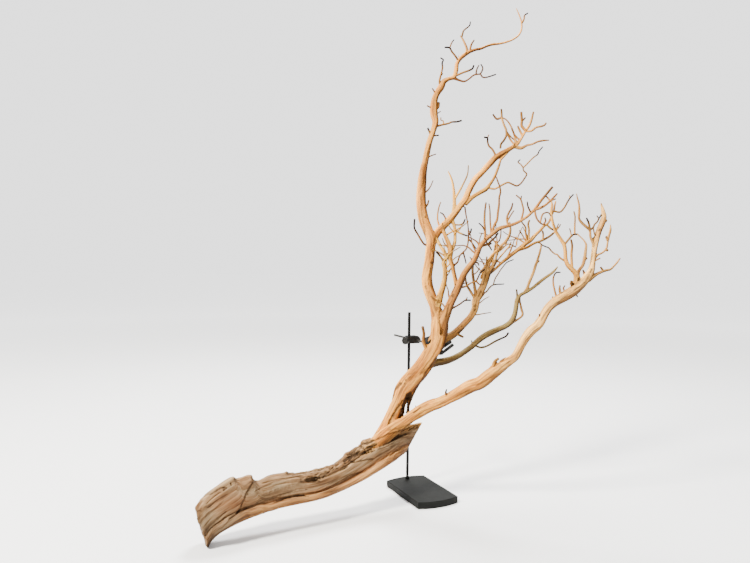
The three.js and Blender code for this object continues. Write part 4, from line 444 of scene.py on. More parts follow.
# Small twigs of the crowded middle and the knots, drawn here only
SMALL_TWIGS = {
    "webDash": ["backReed", -6, 2.2, 1.5, [[473.4, 262], [475, 254], [478, 249]]],
    "webDashTwo": ["backThorn", 4, 2.2, 1.6, [[486.6, 262], [487, 257]]],
    "webDashThree": ["webRise", 4, 2, 1.5, [[489, 260.4], [492.5, 256]]],
    "webTick": ["webCross", 3, 2, 1.5, [[483.6, 267.6], [486, 265]]],
    "webTickTwo": ["backReed", 5, 2, 1.5, [[473.6, 274.6], [477, 272], [479.6, 268]]],
    "webRiser": ["webDash", 6, 2, 1.4, [[477, 251], [479, 244], [480, 238], [482, 233]]],
    "webBit": ["webPale", 4, 2, 1.5, [[500.8, 250.6], [503, 247]]],
    "webFall": ["lowTwig", 5, 2.2, 1.5, [[476, 281], [479.6, 284.4], [484, 284]]],
    "clusterBend": ["upperFork", -8, 2.6, 1.7, [[533.8, 210.6], [537, 219], [541, 223.5], [545, 225]]],
    "clusterArc": ["clusterBend", 6, 2.2, 1.6, [[541, 222], [543, 214], [548, 212.5], [551, 216]]],
    "clusterStick": ["clusterBend", -5, 2.2, 1.7, [[543.4, 224.4], [545.6, 221], [545, 218]]],
    "clusterStub": ["upperBackLimb", -6, 3, 2.4, [[546.6, 225], [551, 228.6], [555, 230.5]]],
    "clusterPair": ["linkTwig", 4, 2.2, 1.6, [[553, 233.6], [556, 229.4], [558.5, 224]]],
    "clusterPairTwo": ["linkTwig", -4, 2.2, 1.6, [[553.6, 233], [558, 228.4], [560.5, 224.5]]],
    "midArc": ["backLimb", 14, 2.4, 1.6, [[500.6, 247], [504, 246.6], [508, 244], [516, 247]]],
    "bunchSplint": ["bunchBow", 5, 2, 1.5, [[506, 131], [510, 136], [515.6, 141]]],
    "bunchSplintTwo": ["secondStem", 8, 2.4, 1.6, [[515, 145], [510.6, 140], [507, 133.4]]],
    "bunchSplintThree": ["secondStem", -8, 2.2, 1.5, [[519.6, 140.6], [514.4, 134.6], [511.6, 128.6]]],
    "sideBump": ["outerArm", 2, 6, 4.4, [[603.4, 219], [606, 221.4]]],
    "sideBumpTwo": ["rightSpike", 2, 4.4, 3, [[608, 240], [606.2, 236.4]]],
    "sideBumpThree": ["rightSpike", 2, 4.2, 3, [[606, 249.6], [607.6, 250.6]]],
    "forkBump": ["forkRightLimb", 2, 4.4, 3, [[584.8, 257], [586.6, 259]]],
    "armPegTwo": ["outerArm", 4, 2.6, 1.9, [[561, 297.6], [559.4, 290], [560, 286]]],
    "armCrestTwo": ["outerArm", -6, 5, 3, [[492, 371], [494.6, 362], [498.6, 358.4]]],
}

# Wood tones, as seen on screen
PEACH = (222, 176, 122)
PALE = (226, 190, 130)
STRAW = (214, 174, 118)
TAN = (200, 166, 128)
ROSE = (188, 148, 108)
BEAD = (222, 182, 150)
SEAM = (168, 122, 94)
RUDDY = (158, 116, 92)
PALE_ARM = (238, 206, 168)
GREY_TAN = (167, 148, 142)
OLIVE_TAN = (164, 148, 122)
BROWN = (146, 112, 80)
DUSK = (70, 54, 40)
BLACK = (0, 0, 0)

LIMB_TONES = {
    "mainStem": PEACH, "leftStem": PEACH, "secondStem": PEACH, "rejoiningLimb": STRAW, "middleLimb": ROSE,
    "backLimb": TAN, "upperBackLimb": STRAW, "innerLowerLimb": OLIVE_TAN, "innerLowerFork": TAN,
    "splitStrand": TAN, "outerArm": PEACH, "forkLimb": STRAW, "forkRightLimb": TAN, "rightSideLimb": TAN,
    "outermostLimb": TAN, "rightSpike": TAN, "crossLimb": STRAW, "paleBridge": PALE, "crotchLimb": PALE,
    "innerLoop": PALE, "paleLimb": PALE, "plumeLimb": BROWN, "topSpray": TAN, "bunchLimb": TAN,
    "twinLimb": STRAW, "backStrand": STRAW, "loopTwig": TAN, "climbingTwig": BROWN, "stemLobe": BROWN,
    "stemSliver": BROWN, "stemFlank": PEACH, "hollowSliver": BROWN, "hollowPanel": TAN, "trunk": GREY_TAN,
}

# Twigs that are dark all along
DARK_TWIGS = {
    "hookTwig", "darkCross", "darkSpur", "sideTwig", "leftReed", "leftFork", "leftForkTip", "plumeCurl",
    "plumeTip", "spanTwig", "spanStub", "crossTip", "curlTwig", "climbSide", "faintTwigUp", "faintTwig",
    "lowerTwig", "thinLink", "fallenTwig", "farSpray", "forkCross", "sideFork", "swayLeft", "swayRight",
    "stemFork", "midHook", "leftPeg", "rightPeg", "darkPeg", "lowTwig", "webHook", "webPeg", "webDash",
    "clusterStub", "hookTip", "sprayTip", "sideKnuckle", "armSpur", "lowStub", "hangingTwig",
}

# Marks on the side that faces the eye: what they lie on, width and depth in mm, darkness painted in as shade
# (with the wood's own dark in knots and rot), and their line
MARKS = {
    "beadFurrow": ["trunk", 7, 3, 0.16, [[232, 519], [240, 511], [250, 507], [262, 502.5], [272, 499.4],
        [285, 497.6], [300, 494.4], [316, 492.6], [326, 489.4], [340, 482], [352, 475.4], [366, 471],
        [378, 463.6], [388, 455], [398, 447.6], [404, 444.4]]],
    "tornFlap": ["trunk", 5, 6, 0.85, [[253, 483], [249, 489], [246, 494.4], [244.6, 499], [242.4, 503.6],
        [240, 509.6], [236, 514], [230, 518.8]]],
    "darkHook": ["trunk", 4, 3, 0.7, [[244.6, 496.6], [247, 493.6], [248.4, 494.6]]],
    "notchHole": ["trunk", 6, 5, 0.9, [[230.8, 482.6], [231.2, 485.6]]],
    "upperTear": ["trunk", 6, 6, 0.95, [[209.4, 495], [215, 491.4], [221, 487.6], [227.4, 487.4]]],
    "upperTearTwo": ["trunk", 5, 4, 0.9, [[223, 490.6], [227, 488]]],
    "upperTearThree": ["trunk", 4, 3.4, 0.75, [[206, 504], [212, 498.4], [218, 493.6], [221.6, 491.8]]],
    "lowerTear": ["trunk", 4, 3.4, 0.7, [[211.6, 525.6], [217, 520.4], [222, 515.4], [227, 511.4]]],
    "lowerTearTwo": ["trunk", 5, 2.4, 0.4, [[206, 530.6], [213, 523.6], [220, 516.8]]],
    "lowerTearThree": ["trunk", 5, 2, 0.3, [[212, 529.6], [219, 524.6], [226, 516.6]]],
    "endNick": ["trunk", 4, 2.4, 0.6, [[196.6, 512], [199, 510.6], [202, 511.4]]],
    "longShadow": ["trunk", 32, 3, 0.34, [[262, 498.6], [275, 494], [288, 490], [300, 486], [308, 481.6]]],
    "longCrack": ["trunk", 4.4, 5, 0.92, [[256.6, 502.6], [262, 500.6], [270, 498.8], [279, 495.8],
        [288, 492.8], [296, 490.4]]],
    "beadCrack": ["trunk", 5.4, 6, 0.97, [[274, 502.6], [281, 500], [288, 497.6], [296, 496], [303, 495.4],
        [309, 496.6]]],
    "hollow": ["trunk", 14, 9, 0.62, [[306, 480.6], [311, 479.4], [318, 478.4]]],
    "hollowFloor": ["trunk", 5, 4, 0.95, [[308, 482], [313, 482.2], [318, 480.4], [320.4, 481.6]]],
    "hollowRoof": ["trunk", 4, 3, 0.8, [[304, 480], [309, 476.4], [315, 477], [319.4, 477],
        [320.6, 479.6]]],
    "hollowPit": ["trunk", 4.4, 4, 0.85, [[305.6, 484.4], [307, 484.4]]],
    "hollowPitTwo": ["trunk", 4, 2.4, 0.6, [[305.4, 489.8], [307.6, 489.6]]],
    "rimShade": ["trunk", 4.4, 2, 0.72, [[285, 472.8], [300, 473], [314, 471.4], [322, 469.2],
        [332, 464.6]]],
    "flake": ["trunk", 5, 4, 0.6, [[322.6, 478], [326, 474.6], [329.6, 471.6], [333.6, 466.4]]],
    "flakeTwo": ["trunk", 4, 3, 0.5, [[331, 471.4], [335, 468.4]]],
    "rot": ["trunk", 12, 7, 0.7, [[346, 458], [353, 454.6], [361, 453.4], [368, 451.6], [375, 450.4]]],
    "rotFloor": ["trunk", 8, 4, 0.6, [[350, 461], [353, 462], [360, 461.4], [368, 459.6], [374.6, 459]]],
    "rotHole": ["trunk", 5, 5, 0.9, [[346, 458], [352, 455.6], [358, 453.8], [364, 453]]],
    "rotHoleTwo": ["trunk", 5, 4, 0.9, [[369.6, 452], [375, 450.4]]],
    "rotPit": ["trunk", 4, 3, 0.8, [[356.4, 450.2], [358, 450.6]]],
    "rotPitTwo": ["trunk", 4, 3, 0.75, [[350.4, 462.4], [353, 462.2]]],
    "deepFurrow": ["trunk", 11, 12, 0.92, [[363.6, 449.4], [370, 447], [378, 445.6], [386, 443.4],
        [393, 439.6], [401, 435], [409, 431.4], [416, 426.6], [420, 423.6]]],
    "deepFurrowTwo": ["trunk", 9, 6, 0.7, [[400, 436.4], [408, 432.6], [415, 429.6], [419.6, 426]]],
    "beadShade": ["trunk", 9, 3, 0.34, [[389, 457], [395, 451.6], [401, 447.6], [406.4, 444.6]]],
    "fineCrack": ["trunk", 4, 2, 0.22, [[318, 489.6], [330, 483.6], [344, 477.6], [356, 472.6]]],
    "fineCrackTwo": ["trunk", 4, 2.4, 0.42, [[262, 483.4], [276, 479.6], [292, 477.6], [302, 476]]],
    "fineCrackThree": ["trunk", 4, 2, 0.4, [[254, 492], [262, 487.6], [272, 484]]],
    "fineCrackFour": ["trunk", 4, 2, 0.5, [[378, 449.4], [386, 447], [394, 442.6]]],
    "fineCrackFive": ["trunk", 4.4, 2, 0.4, [[205, 518], [214, 510], [224, 501]]],
    "fineCrackSix": ["trunk", 4.4, 2.4, 0.45, [[208, 508], [217, 500.6], [228, 494]]],
    "stemEdge": ["stem", 4, 2.4, 0.6, [[371.4, 436.6], [375, 433.6], [378.6, 431.8], [385, 430.4]]],
    "armFurrow": ["arm", 5, 3.4, 0.5, [[372, 441], [380, 438], [390, 434], [400, 431], [410, 427.4],
        [420, 422]]],
    "armFurrowTwo": ["arm", 5, 2.6, 0.36, [[388, 430.4], [398, 428.8], [407, 425.6], [416, 420.6]]],
    "stemPit": ["stem", 4, 2.4, 0.75, [[385.4, 429.4], [387, 428.4]]],
    "stemSplit": ["stem", 7, 7, 0.92, [[388.4, 425], [390.6, 420], [393.4, 415], [397, 409.6], [400, 404.6],
        [403.4, 400.4]]],
    "panelShade": ["stem", 20, 3, 0.16, [[397, 421], [400, 414], [402.4, 408]]],
    "stemHollow": ["stem", 17, 9, 0.86, [[410, 393], [408.4, 398], [406.6, 403.6], [405, 409],
        [403.4, 413]]],
    "rightSlit": ["stem", 5, 4, 0.9, [[408.6, 407], [407.6, 412]]],
    "stemBark": ["stem", 8, 2, 0.86, [[391.6, 399], [392.4, 394], [394.4, 389.6], [397.6, 386.4],
        [402, 382.6]]],
    "barkNick": ["stem", 4, 2, 0.7, [[404, 383.8], [405, 382.8]]],
    "barkNickTwo": ["stem", 4, 2, 0.6, [[405, 380.4], [406.6, 379.4]]],
    "stemGroove": ["stem", 7, 1.8, 0.2, [[398, 395], [406, 382], [415, 368], [424, 356]]],
    "stemGrooveTwo": ["stem", 6, 2, 0.36, [[420, 374.6], [427, 364.6], [433, 356.6], [438, 347.6],
        [441, 338]]],
    "stemRim": ["stem", 5, 1.6, 0.66, [[423.6, 375.6], [428, 369.4], [433, 362.6], [437, 356.6]]],
    "forkSplit": ["stem", 9, 8, 0.9, [[441.4, 335], [441.6, 330], [443.4, 326.6], [446, 322]]],
    "forkGroove": ["stem", 6, 3, 0.5, [[441, 330], [440, 322], [439.8, 312], [443, 307.6]]],
    "eyeKnot": ["stem", 7, 2.6, 0.42, [[437.4, 303.4], [438.4, 301.2], [439, 300.6]]],
    "eyeKnotTwo": ["stem", 4.4, 2.4, 0.66, [[438.2, 301.4], [439.2, 300.4]]],
    "sideKnot": ["stem", 9, 2, 0.26, [[426.2, 286], [426.4, 289]]],
    "sideKnotTwo": ["stem", 4, 1.6, 0.4, [[426, 285.4], [426.6, 289.4]]],
    "ringKnot": ["stem", 9, 3, 0.5, [[431.4, 263.6], [433, 261.6]]],
    "ringKnotTwo": ["stem", 5, 3, 0.95, [[434.2, 260.4], [434.4, 259.4]]],
    "knotStubs": ["stem", 5, 1, 0.95, [[435.6, 252], [436.4, 253.6]]],
    "stemLine": ["stem", 5, 1.8, 0.4, [[434, 257], [433, 250], [434.6, 242], [436.6, 236]]],
    "stemLineTwo": ["stem", 5, 1.8, 0.28, [[428, 281], [430, 274], [431.4, 267]]],
    "twinKnot": ["stem", 4, 2, 0.5, [[436, 298], [437.6, 295]]],
    "stemLineThree": ["stem", 5, 2, 0.35, [[424.6, 238], [424, 225], [421.8, 212], [421.4, 196]]],
    "stemLineFour": ["stem", 4.4, 1.6, 0.34, [[423.4, 187], [424.4, 172], [427, 158], [431, 143]]],
    "middleGroove": ["middle", 6, 3, 0.55, [[441.6, 312], [443.6, 307], [445, 301]]],
    "middleGrooveTwo": ["middle", 5, 2.6, 0.5, [[446.4, 318], [447.4, 311], [449, 304]]],
    "middleKnot": ["middle", 9, 3, 0.62, [[452.6, 297], [453, 294.4]]],
    "middleKnotTwo": ["middle", 5, 2, 0.7, [[451.4, 292.4], [453.4, 288], [455, 286.6]]],
    "middleRim": ["middle", 6, 2, 0.8, [[460.4, 291], [463, 286], [466, 281], [468.4, 274.6],
        [472, 268.4]]],
    "middleRimTwo": ["middle", 5, 1.6, 0.7, [[472, 268.4], [476.4, 262], [480, 255], [481.4, 248.6]]],
    "middleRimThree": ["middle", 4.4, 1.4, 0.66, [[486, 241.6], [493, 236], [500, 230.6]]],
    "backKnot": ["back", 8, 3, 0.55, [[479, 296.6], [479.6, 293], [481.6, 291]]],
    "backKnotTwo": ["back", 5, 2.4, 0.55, [[473.4, 306.6], [476, 304.6]]],
    "backKnotThree": ["back", 5, 2.4, 0.5, [[474, 310.6], [476, 309]]],
    "backGroove": ["back", 5, 2.4, 0.5, [[456, 334.6], [462, 330], [468, 325.6], [473.4, 320.4]]],
    "backRim": ["back", 6, 2, 0.7, [[489.4, 276], [492.4, 270.6], [496, 264.6], [497.8, 258.6]]],
    "armGroove": ["arm", 5, 2.6, 0.3, [[410, 421.6], [424, 411.6], [440, 405], [456, 397.6], [470, 390]]],
    "armSlit": ["arm", 4.4, 3, 0.7, [[413, 412.6], [417, 410], [420.6, 406.6]]],
    "armPit": ["arm", 5, 3, 0.8, [[445.8, 395], [447.2, 393.6]]],
    "armGrooveTwo": ["arm", 6, 3, 0.4, [[476, 386], [486, 381], [494, 375], [503, 366.6], [510, 361]]],
    "armGrooveThree": ["arm", 5, 2.6, 0.4, [[516, 358], [521, 349.6], [526, 341], [531.4, 334.4],
        [538.6, 327.6]]],
    "armGrooveFour": ["arm", 5, 2.6, 0.38, [[541, 321], [546, 313], [551.6, 306.6], [560, 300.6],
        [568, 295.6]]],
    "armRough": ["arm", 8, 3, 0.45, [[492, 366.6], [498, 361.6], [504, 358.6]]],
    "elbowKnot": ["arm", 8, 3.4, 0.72, [[578, 280.6], [580, 278.4]]],
    "elbowHollow": ["arm", 7, 4, 0.85, [[570, 286.6], [572, 284]]],
    "elbowGroove": ["arm", 5, 2.4, 0.5, [[574, 290], [580, 286.6], [586, 281.6], [590, 274.6]]],
    "elbowKnotTwo": ["arm", 6, 2.4, 0.6, [[590.4, 272.6], [592, 268.6]]],
    "tipKnot": ["arm", 5, 2, 0.6, [[598.6, 231], [600.6, 229]]],
}

# The limbs that each kind of mark can lie on
MARK_HOSTS = {
    "trunk": {"trunk"},
    "stem": {"mainStem", "leftStem", "stemLobe", "stemSliver", "stemFlank", "hollowSliver", "hollowPanel",
        "secondStem", "crotchLimb"},
    "middle": {"middleLimb", "crossLimb", "crotchLimb"},
    "back": {"backLimb", "upperBackLimb", "twinLimb"},
    "arm": {"outerArm", "trunk", "forkLimb", "outermostLimb", "rightSpike"},
}

# The torn plate at the trunk's left end stands proud of the slab, up to this line on the sheet
FLAP_LINE = [
    [254, 476], [253, 483], [249, 489], [246, 494.4], [244.6, 499], [242.4, 503.6], [240, 509.6],
    [236, 514], [230, 518.8], [224, 526], [216, 534],
]

# The plate's height and the size of its edge's rags in metres, and in pixels how far these reach, its step,
# its length and its lower end
FLAP_PROUD = 0.0055
FLAP_RAGGED = 0.8
FLAP_RAGGED_SIZE = 0.004
FLAP_STEP_WIDTH = 1.1
FLAP_LENGTH = 46
FLAP_BOTTOM = 534
FLAP_BOTTOM_FADE = 16

# The slab's top edge on the sheet, how rough it is along there, and its bark crumbs in metres
CREST_ACROSS = (262, 284, 300, 330, 345, 372, 386)
CREST_DOWN = (477, 472, 472, 465, 458, 441, 432)
CREST_SPREAD = (0, 0.2, 0.6, 0.8, 1.4, 1.2, 0)
CREST_BELOW = 12
CREST_FADE = 5
CRUMB_GRAIN = np.array([0.007, 0.007, 0.017])
CRUMB_HEIGHT = 0.0042

# Bumps on the slab's top edge: place on the sheet, size in pixels, height in metres
CREST_BUMPS = [
    (286.4, 473, 1.8, 0.004), (233, 479, 1.8, 0.005), (250.6, 477, 2.0, 0.004), (316, 470, 3.0, 0.003),
    (326, 466, 2.0, 0.003), (347, 455, 3.0, 0.004), (364, 443, 3.0, 0.004),
]

# Tinted places on the sheet: the bead along the slab's foot and the seam above it, the ruddy spot, the grey
# end, the tan upper side and the pale end of the long arm
BEAD_ACROSS = (207, 230, 262, 285, 315, 340, 365, 390, 405, 420)
BEAD_DOWN = (543, 521, 505, 501, 493, 487, 471.5, 453, 447, 440)
BEAD_START = 226
BEAD_LIT = 310
MID_TRUNK = 330
SEAM_START = 236
SEAM_WIDTH = 2.4
RUDDY_SPOT = (233, 504)
RUDDY_SIZE = (26, 16)
GREY_END = (226, 500)
UPPER_START = 352
UPPER_ABOVE = 14
PALE_ARM_START = 480


def sight_axes():
    """The eye's directions: ahead, to the right and up."""
    down = math.radians(EYE_DOWN)
    roll = math.radians(EYE_ROLL)
    ahead = np.array([0, math.cos(down), -math.sin(down)])
    level = np.array([1.0, 0, 0])
    upright = np.cross(level, ahead)
    right = level * math.cos(roll) + upright * math.sin(roll)
    up = -level * math.sin(roll) + upright * math.cos(roll)
    return ahead, right, up


AHEAD, RIGHT, UP = sight_axes()


def seen(across, down, depth):
    """Places in metres of sketch points at the given depths in mm."""
    across = np.asarray(across, float)[..., None]
    down = np.asarray(down, float)[..., None]
    rightward = (across - SKETCH_CENTRE[0]) / SKETCH_REACH * RIGHT
    upward = (SKETCH_CENTRE[1] - down) / SKETCH_REACH * UP
    ray = AHEAD + rightward + upward
    reach = (np.asarray(depth, float)[..., None] / 1000 - EYE[1]) / ray[..., 1:2]
    return EYE + ray * reach


def sketch_of(places):
    """Where places show on the sketch sheet."""
    away = places - EYE
    ahead = away @ AHEAD
    across = SKETCH_CENTRE[0] + SKETCH_REACH * (away @ RIGHT) / ahead
    down = SKETCH_CENTRE[1] - SKETCH_REACH * (away @ UP) / ahead
    return across, down


# The curve of a screen: a straight foot up to the knee, then a power
SCREEN_KNEE = 0.04045
SCREEN_SLOPE = 12.92
SCREEN_LIFT = 0.055
SCREEN_POWER = 2.4

# What the studio light does to wood on its way to the screen
STUDIO_CAST = np.array([0.97, 0.95, 0.6])
STUDIO_CONTRAST = 1.45


def screen_tone(tone):
    """A tone seen on screen, as linear light."""
    value = np.asarray(tone, float) / 255
    curved = ((value + SCREEN_LIFT) / (1 + SCREEN_LIFT)) ** SCREEN_POWER
    return np.where(value <= SCREEN_KNEE, value / SCREEN_SLOPE, curved)


def wood_tone(tone):
    """A wood tone seen on screen under the studio light, as the colour of the wood itself."""
    return STUDIO_CAST * screen_tone(tone) ** STUDIO_CONTRAST


# Large odd factors that scatter the cells of a lattice, and the bits that are kept
SCATTER = (73856093, 19349663, 83492791)
SCATTER_SEED = 2654435761
SCATTER_AGAIN = 1274126177
KEPT_BITS = 0xFFFFFF


def cell_values(cells, seed):
    """One steady value from 0 to 1 for each cell of a lattice."""
    mixed = seed * SCATTER_SEED
    for axis, factor in enumerate(SCATTER):
        mixed = cells[..., axis] * factor ^ mixed
    mixed = (mixed ^ (mixed >> 13)) * SCATTER_AGAIN
    mixed = (mixed ^ (mixed >> 16)) & KEPT_BITS
    return mixed / KEPT_BITS


def soft_noise(points, seed):
    """Smooth noise from -1 to 1."""
    base = np.floor(points).astype(np.int64)
    part = points - base
    part = part * part * (3 - 2 * part)
    total = np.zeros(points.shape[:-1])
    for corner in range(8):
        step = np.array([corner & 1, corner >> 1 & 1, corner >> 2 & 1])
        weight = np.prod(np.where(step == 1, part, 1 - part), axis=-1)
        total += weight * cell_values(base + step, seed)
    return total * 2 - 1


def layered_noise(points, seed, layers):
    """Soft noise with finer and weaker layers over it."""
    total = 0
    for layer in range(layers):
        total = total + 0.5 ** layer * soft_noise(points * 2 ** layer, seed + layer)
    return total


def noise_along(travelled, length, lane, seed):
    """Soft noise along a limb, with lanes that differ from one another."""
    still = travelled * 0
    return soft_noise(np.column_stack([travelled / length, still + lane, still + seed]), seed)


def rise(value, start, width):
    """From 0 at the start to 1 a width further on, or backwards for a width below zero."""
    return np.clip((value - start) / width, 0, 1)


def fading(distance, width):
    """From 1 on the spot to 0 a width away."""
    return np.clip(1 - distance / width, 0, 1)


def stacked(*values):
    """Values of several shapes as the coordinates of one grid of points."""
    return np.stack(np.broadcast_arrays(*values), axis=-1)


def unit(vector):
    """A vector made one long."""
    return vector / np.linalg.norm(vector)


def unit_rows(vectors):
    """Rows of vectors, each made one long."""
    return vectors / np.linalg.norm(vectors, axis=1, keepdims=True)


def between(first, second, start, end, moments):
    """Values on the way from the first to the second."""
    return (end - moments) / (end - start) * first + (moments - start) / (end - start) * second


def smooth_rows(rows, step, closed=False):
    """Rows of place and other values, evened out along a smooth curve through them."""
    rows = np.asarray(rows, float)
    if closed:
        padded = np.vstack([rows[-1:], rows, rows[:2]])
    else:
        padded = np.vstack([2 * rows[:1] - rows[1:2], rows, 2 * rows[-1:] - rows[-2:-1]])
    result = []
    for first in range(len(padded) - 3):
        values = list(padded[first:first + 4])
        gaps = [np.linalg.norm((end - start)[:3]) for start, end in zip(values[:-1], values[1:])]
        at = np.cumsum([0.0, *(max(gap, 1e-6) ** 0.5 for gap in gaps)])
        count = max(1, math.ceil(gaps[1] / step))
        moments = (at[1] + (at[2] - at[1]) * np.arange(count) / count)[:, None]
        for span in (1, 2):
            pairs = enumerate(zip(values[:-1], values[1:]))
            values = [between(*pair, at[i], at[i + span], moments) for i, pair in pairs]
        result.append(between(*values, at[1], at[2], moments))
    if not closed:
        result.append(rows[-1:])
    return np.vstack(result)


# The steps of the seeded draws
DRAW_FACTOR = 1664525
DRAW_STEP = 1013904223
DRAW_SPAN = 4294967296


def seeded_draws(seed):
    """Values from 0 to 1, always the same ones for a seed."""
    state = seed
    while True:
        state = (state * DRAW_FACTOR + DRAW_STEP) % DRAW_SPAN
        yield state / DRAW_SPAN


# What a tube holds for each of its rings
TUBE_FIELDS = ("centres", "sides", "others", "alongs", "travelled", "radii")


class Skin:
    """Closed tubes gathered in one mesh, with the lengthwise place of every point."""

    def __init__(self):
        self.points = []
        self.faces = []
        self.rings = []
        self.tubes = []
        self.count = 0

    def add(self, name, rings, *lengthwise):
        """One more tube, given by its rings and by what TUBE_FIELDS lists."""
        length, turns = rings.shape[:2]
        tube = len(self.tubes)
        self.tubes.append({"name": name, **dict(zip(TUBE_FIELDS, lengthwise))})
        ring_index = np.arange(length * turns).reshape(length, turns) + self.count
        nearer = ring_index[:-1]
        farther = ring_index[1:]
        corners = [nearer, np.roll(nearer, -1, axis=1), np.roll(farther, -1, axis=1), farther]
        self.faces.extend(np.stack(corners, axis=-1).reshape(-1, 4).tolist())
        self.points.append(rings.reshape(-1, 3))
        at = np.repeat(np.arange(length), turns)
        self.rings.append(np.stack([np.full(length * turns, tube), at], axis=-1))
        self.count += length * turns
        self.close_end(ring_index[0], tube, 0, backwards=True)
        self.close_end(ring_index[-1], tube, length - 1, backwards=False)

    def close_end(self, ring, tube, at, backwards):
        """A fan of faces from the middle of the first or the last ring."""
        self.points.append(np.vstack(self.points)[ring].mean(axis=0)[None])
        self.rings.append(np.array([[tube, at]]))
        middle = self.count
        self.count += 1
        for start, end in zip(ring.tolist(), np.roll(ring, -1).tolist()):
            self.faces.append((end, start, middle) if backwards else (start, end, middle))

    def mesh(self, name):
        mesh = bpy.data.meshes.new(name)
        mesh.from_pydata(np.vstack(self.points).tolist(), [], self.faces)
        mesh.update()
        return mesh


def carried_frames(centres):
    """Directions along, to one side and to the other at each centre, with no sudden turn."""
    before = np.vstack([centres[:1], centres[:-1]])
    after = np.vstack([centres[1:], centres[-1:]])
    alongs = unit_rows(after - before)
    side = unit(np.cross(alongs[0], [0, 1, 0]))
    sides = []
    for along in alongs:
        side = unit(side - along * (side @ along))
        sides.append(side)
    sides = np.array(sides)
    return alongs, sides, np.cross(alongs, sides)


def lengths_along(centres):
    """How far along a line each of its centres lies."""
    return np.concatenate([[0], np.cumsum(np.linalg.norm(np.diff(centres, axis=0), axis=1))])


def ring_angles(turns):
    return np.linspace(0, 2 * np.pi, turns, endpoint=False)[None, :]


def ring_points(centres, reach, angle, sides, others):
    """Rings round the centres, each point as far out as its reach."""
    spokes = np.cos(angle)[..., None] * sides[:, None, :] + np.sin(angle)[..., None] * others[:, None, :]
    return centres[:, None, :] + reach[..., None] * spokes


# How rings close a limb: how far on and how wide, each as a share of its last radius.
# A tip wider than the blunt radius, in mm, is blunt, and past the thick radius, in metres, it tapers off.
POINTED_END = ((0.35, 0.93), (0.62, 0.74), (0.8, 0.42))
BLUNT_END = ((0.1, 0.95), (0.17, 0.82), (0.21, 0.4))
THICK_END = ((0.4, 0.92), (0.9, 0.76), (1.4, 0.55), (1.8, 0.3))
BLUNT_RADIUS = 2.6
THICK_RADIUS = 0.015


def rounded_ends(centres, radii, blunt):
    """Extra rings that round off the far end, or for a thick limb taper off inside the fork."""
    direction = unit(centres[-1] - centres[-2])
    last = radii[-1]
    steps = BLUNT_END if blunt else POINTED_END
    if last > THICK_RADIUS:
        steps = THICK_END
    more = np.array([centres[-1] + direction * last * reach for reach, _ in steps])
    sizes = np.array([last * size for _, size in steps])
    return np.vstack([centres, more]), np.concatenate([radii, sizes])


# A limb's twisted strands and its lumps: lengths in metres, turns in radians, heights as shares of the radius
TWIST_LENGTH = 0.09
TWIST_DRIFT = 0.9
TWIST_DRIFT_LENGTH = 0.07
OVAL = 0.1
OVAL_LENGTH = 0.06
STRAND_COUNT = 3
STRAND_APART = 2.2
STRAND_TWIST = 0.6
STRAND_TWIST_MORE = 0.25
STRANDS_FROM = 0.004
STRANDS_DEEPEN = 0.008
STRAND_FADE_LENGTH = 0.05
CREASE_DEPTH = 0.17
CREASE_WIDTH = 0.26
CREASE_SWELL = 0.035
FLUTES = 5
FLUTE_HEIGHT = 0.03
FLUTE_TWIST = 1.3
LUMP_HEIGHT = 0.1
STRAND_LUMP_HEIGHT = 0.05
LUMPS_ROUND = 1.3
LUMP_LENGTH = 0.012
LUMP_LENGTH_BY_RADIUS = 1.2
LUMP_SHIFT = 3.7


def crease_strands(reach, angle, travelled, twist, radii, seed):
    """Creases between the strands of a limb, deeper where it is thick."""
    thick = rise(radii[:, None], STRANDS_FROM, STRANDS_DEEPEN)
    reach += OVAL * thick * np.cos(2 * angle - travelled[:, None] / OVAL_LENGTH)
    for strand in range(STRAND_COUNT):
        phase = strand * STRAND_APART + seed
        fade = 0.5 + 0.5 * noise_along(travelled, STRAND_FADE_LENGTH, strand, seed)
        strand_twist = twist * (STRAND_TWIST + STRAND_TWIST_MORE * strand)
        turn_from = (angle - strand_twist - phase + np.pi) % (2 * np.pi) - np.pi
        crease = CREASE_DEPTH * np.exp(-(turn_from / CREASE_WIDTH) ** 2) - CREASE_SWELL
        reach -= thick * fade[:, None] * crease
    reach += FLUTE_HEIGHT * np.cos(FLUTES * angle + FLUTE_TWIST * twist + seed)


def add_limb(skin, name, rows, step, turns, seed, strands):
    """A limb of twisted strands: its section swells and creases as it goes."""
    places = seen(rows[:, 0], rows[:, 1], rows[:, 2])
    path = smooth_rows(np.column_stack([places, rows[:, 3] / 1000]), step)
    centres, radii = rounded_ends(path[:, :3], path[:, 3], rows[-1, 3] > BLUNT_RADIUS)
    alongs, sides, others = carried_frames(centres)
    travelled = lengths_along(centres)
    angle = ring_angles(turns)
    drift = noise_along(travelled, TWIST_DRIFT_LENGTH, 0, seed)[:, None]
    twist = travelled[:, None] / TWIST_LENGTH + TWIST_DRIFT * drift
    reach = np.ones((len(centres), turns))
    if strands:
        crease_strands(reach, angle, travelled, twist, radii, seed)
    lumps_along = travelled[:, None] / (LUMP_LENGTH + LUMP_LENGTH_BY_RADIUS * radii[:, None])
    lumps = stacked(np.cos(angle) * LUMPS_ROUND, np.sin(angle) * LUMPS_ROUND, lumps_along)
    lump_height = STRAND_LUMP_HEIGHT if strands else LUMP_HEIGHT
    reach += lump_height * soft_noise(lumps + seed * LUMP_SHIFT, seed)
    rings = ring_points(centres, radii[:, None] * reach, angle, sides, others)
    skin.add(name, rings, centres, sides, others, alongs, travelled, radii)


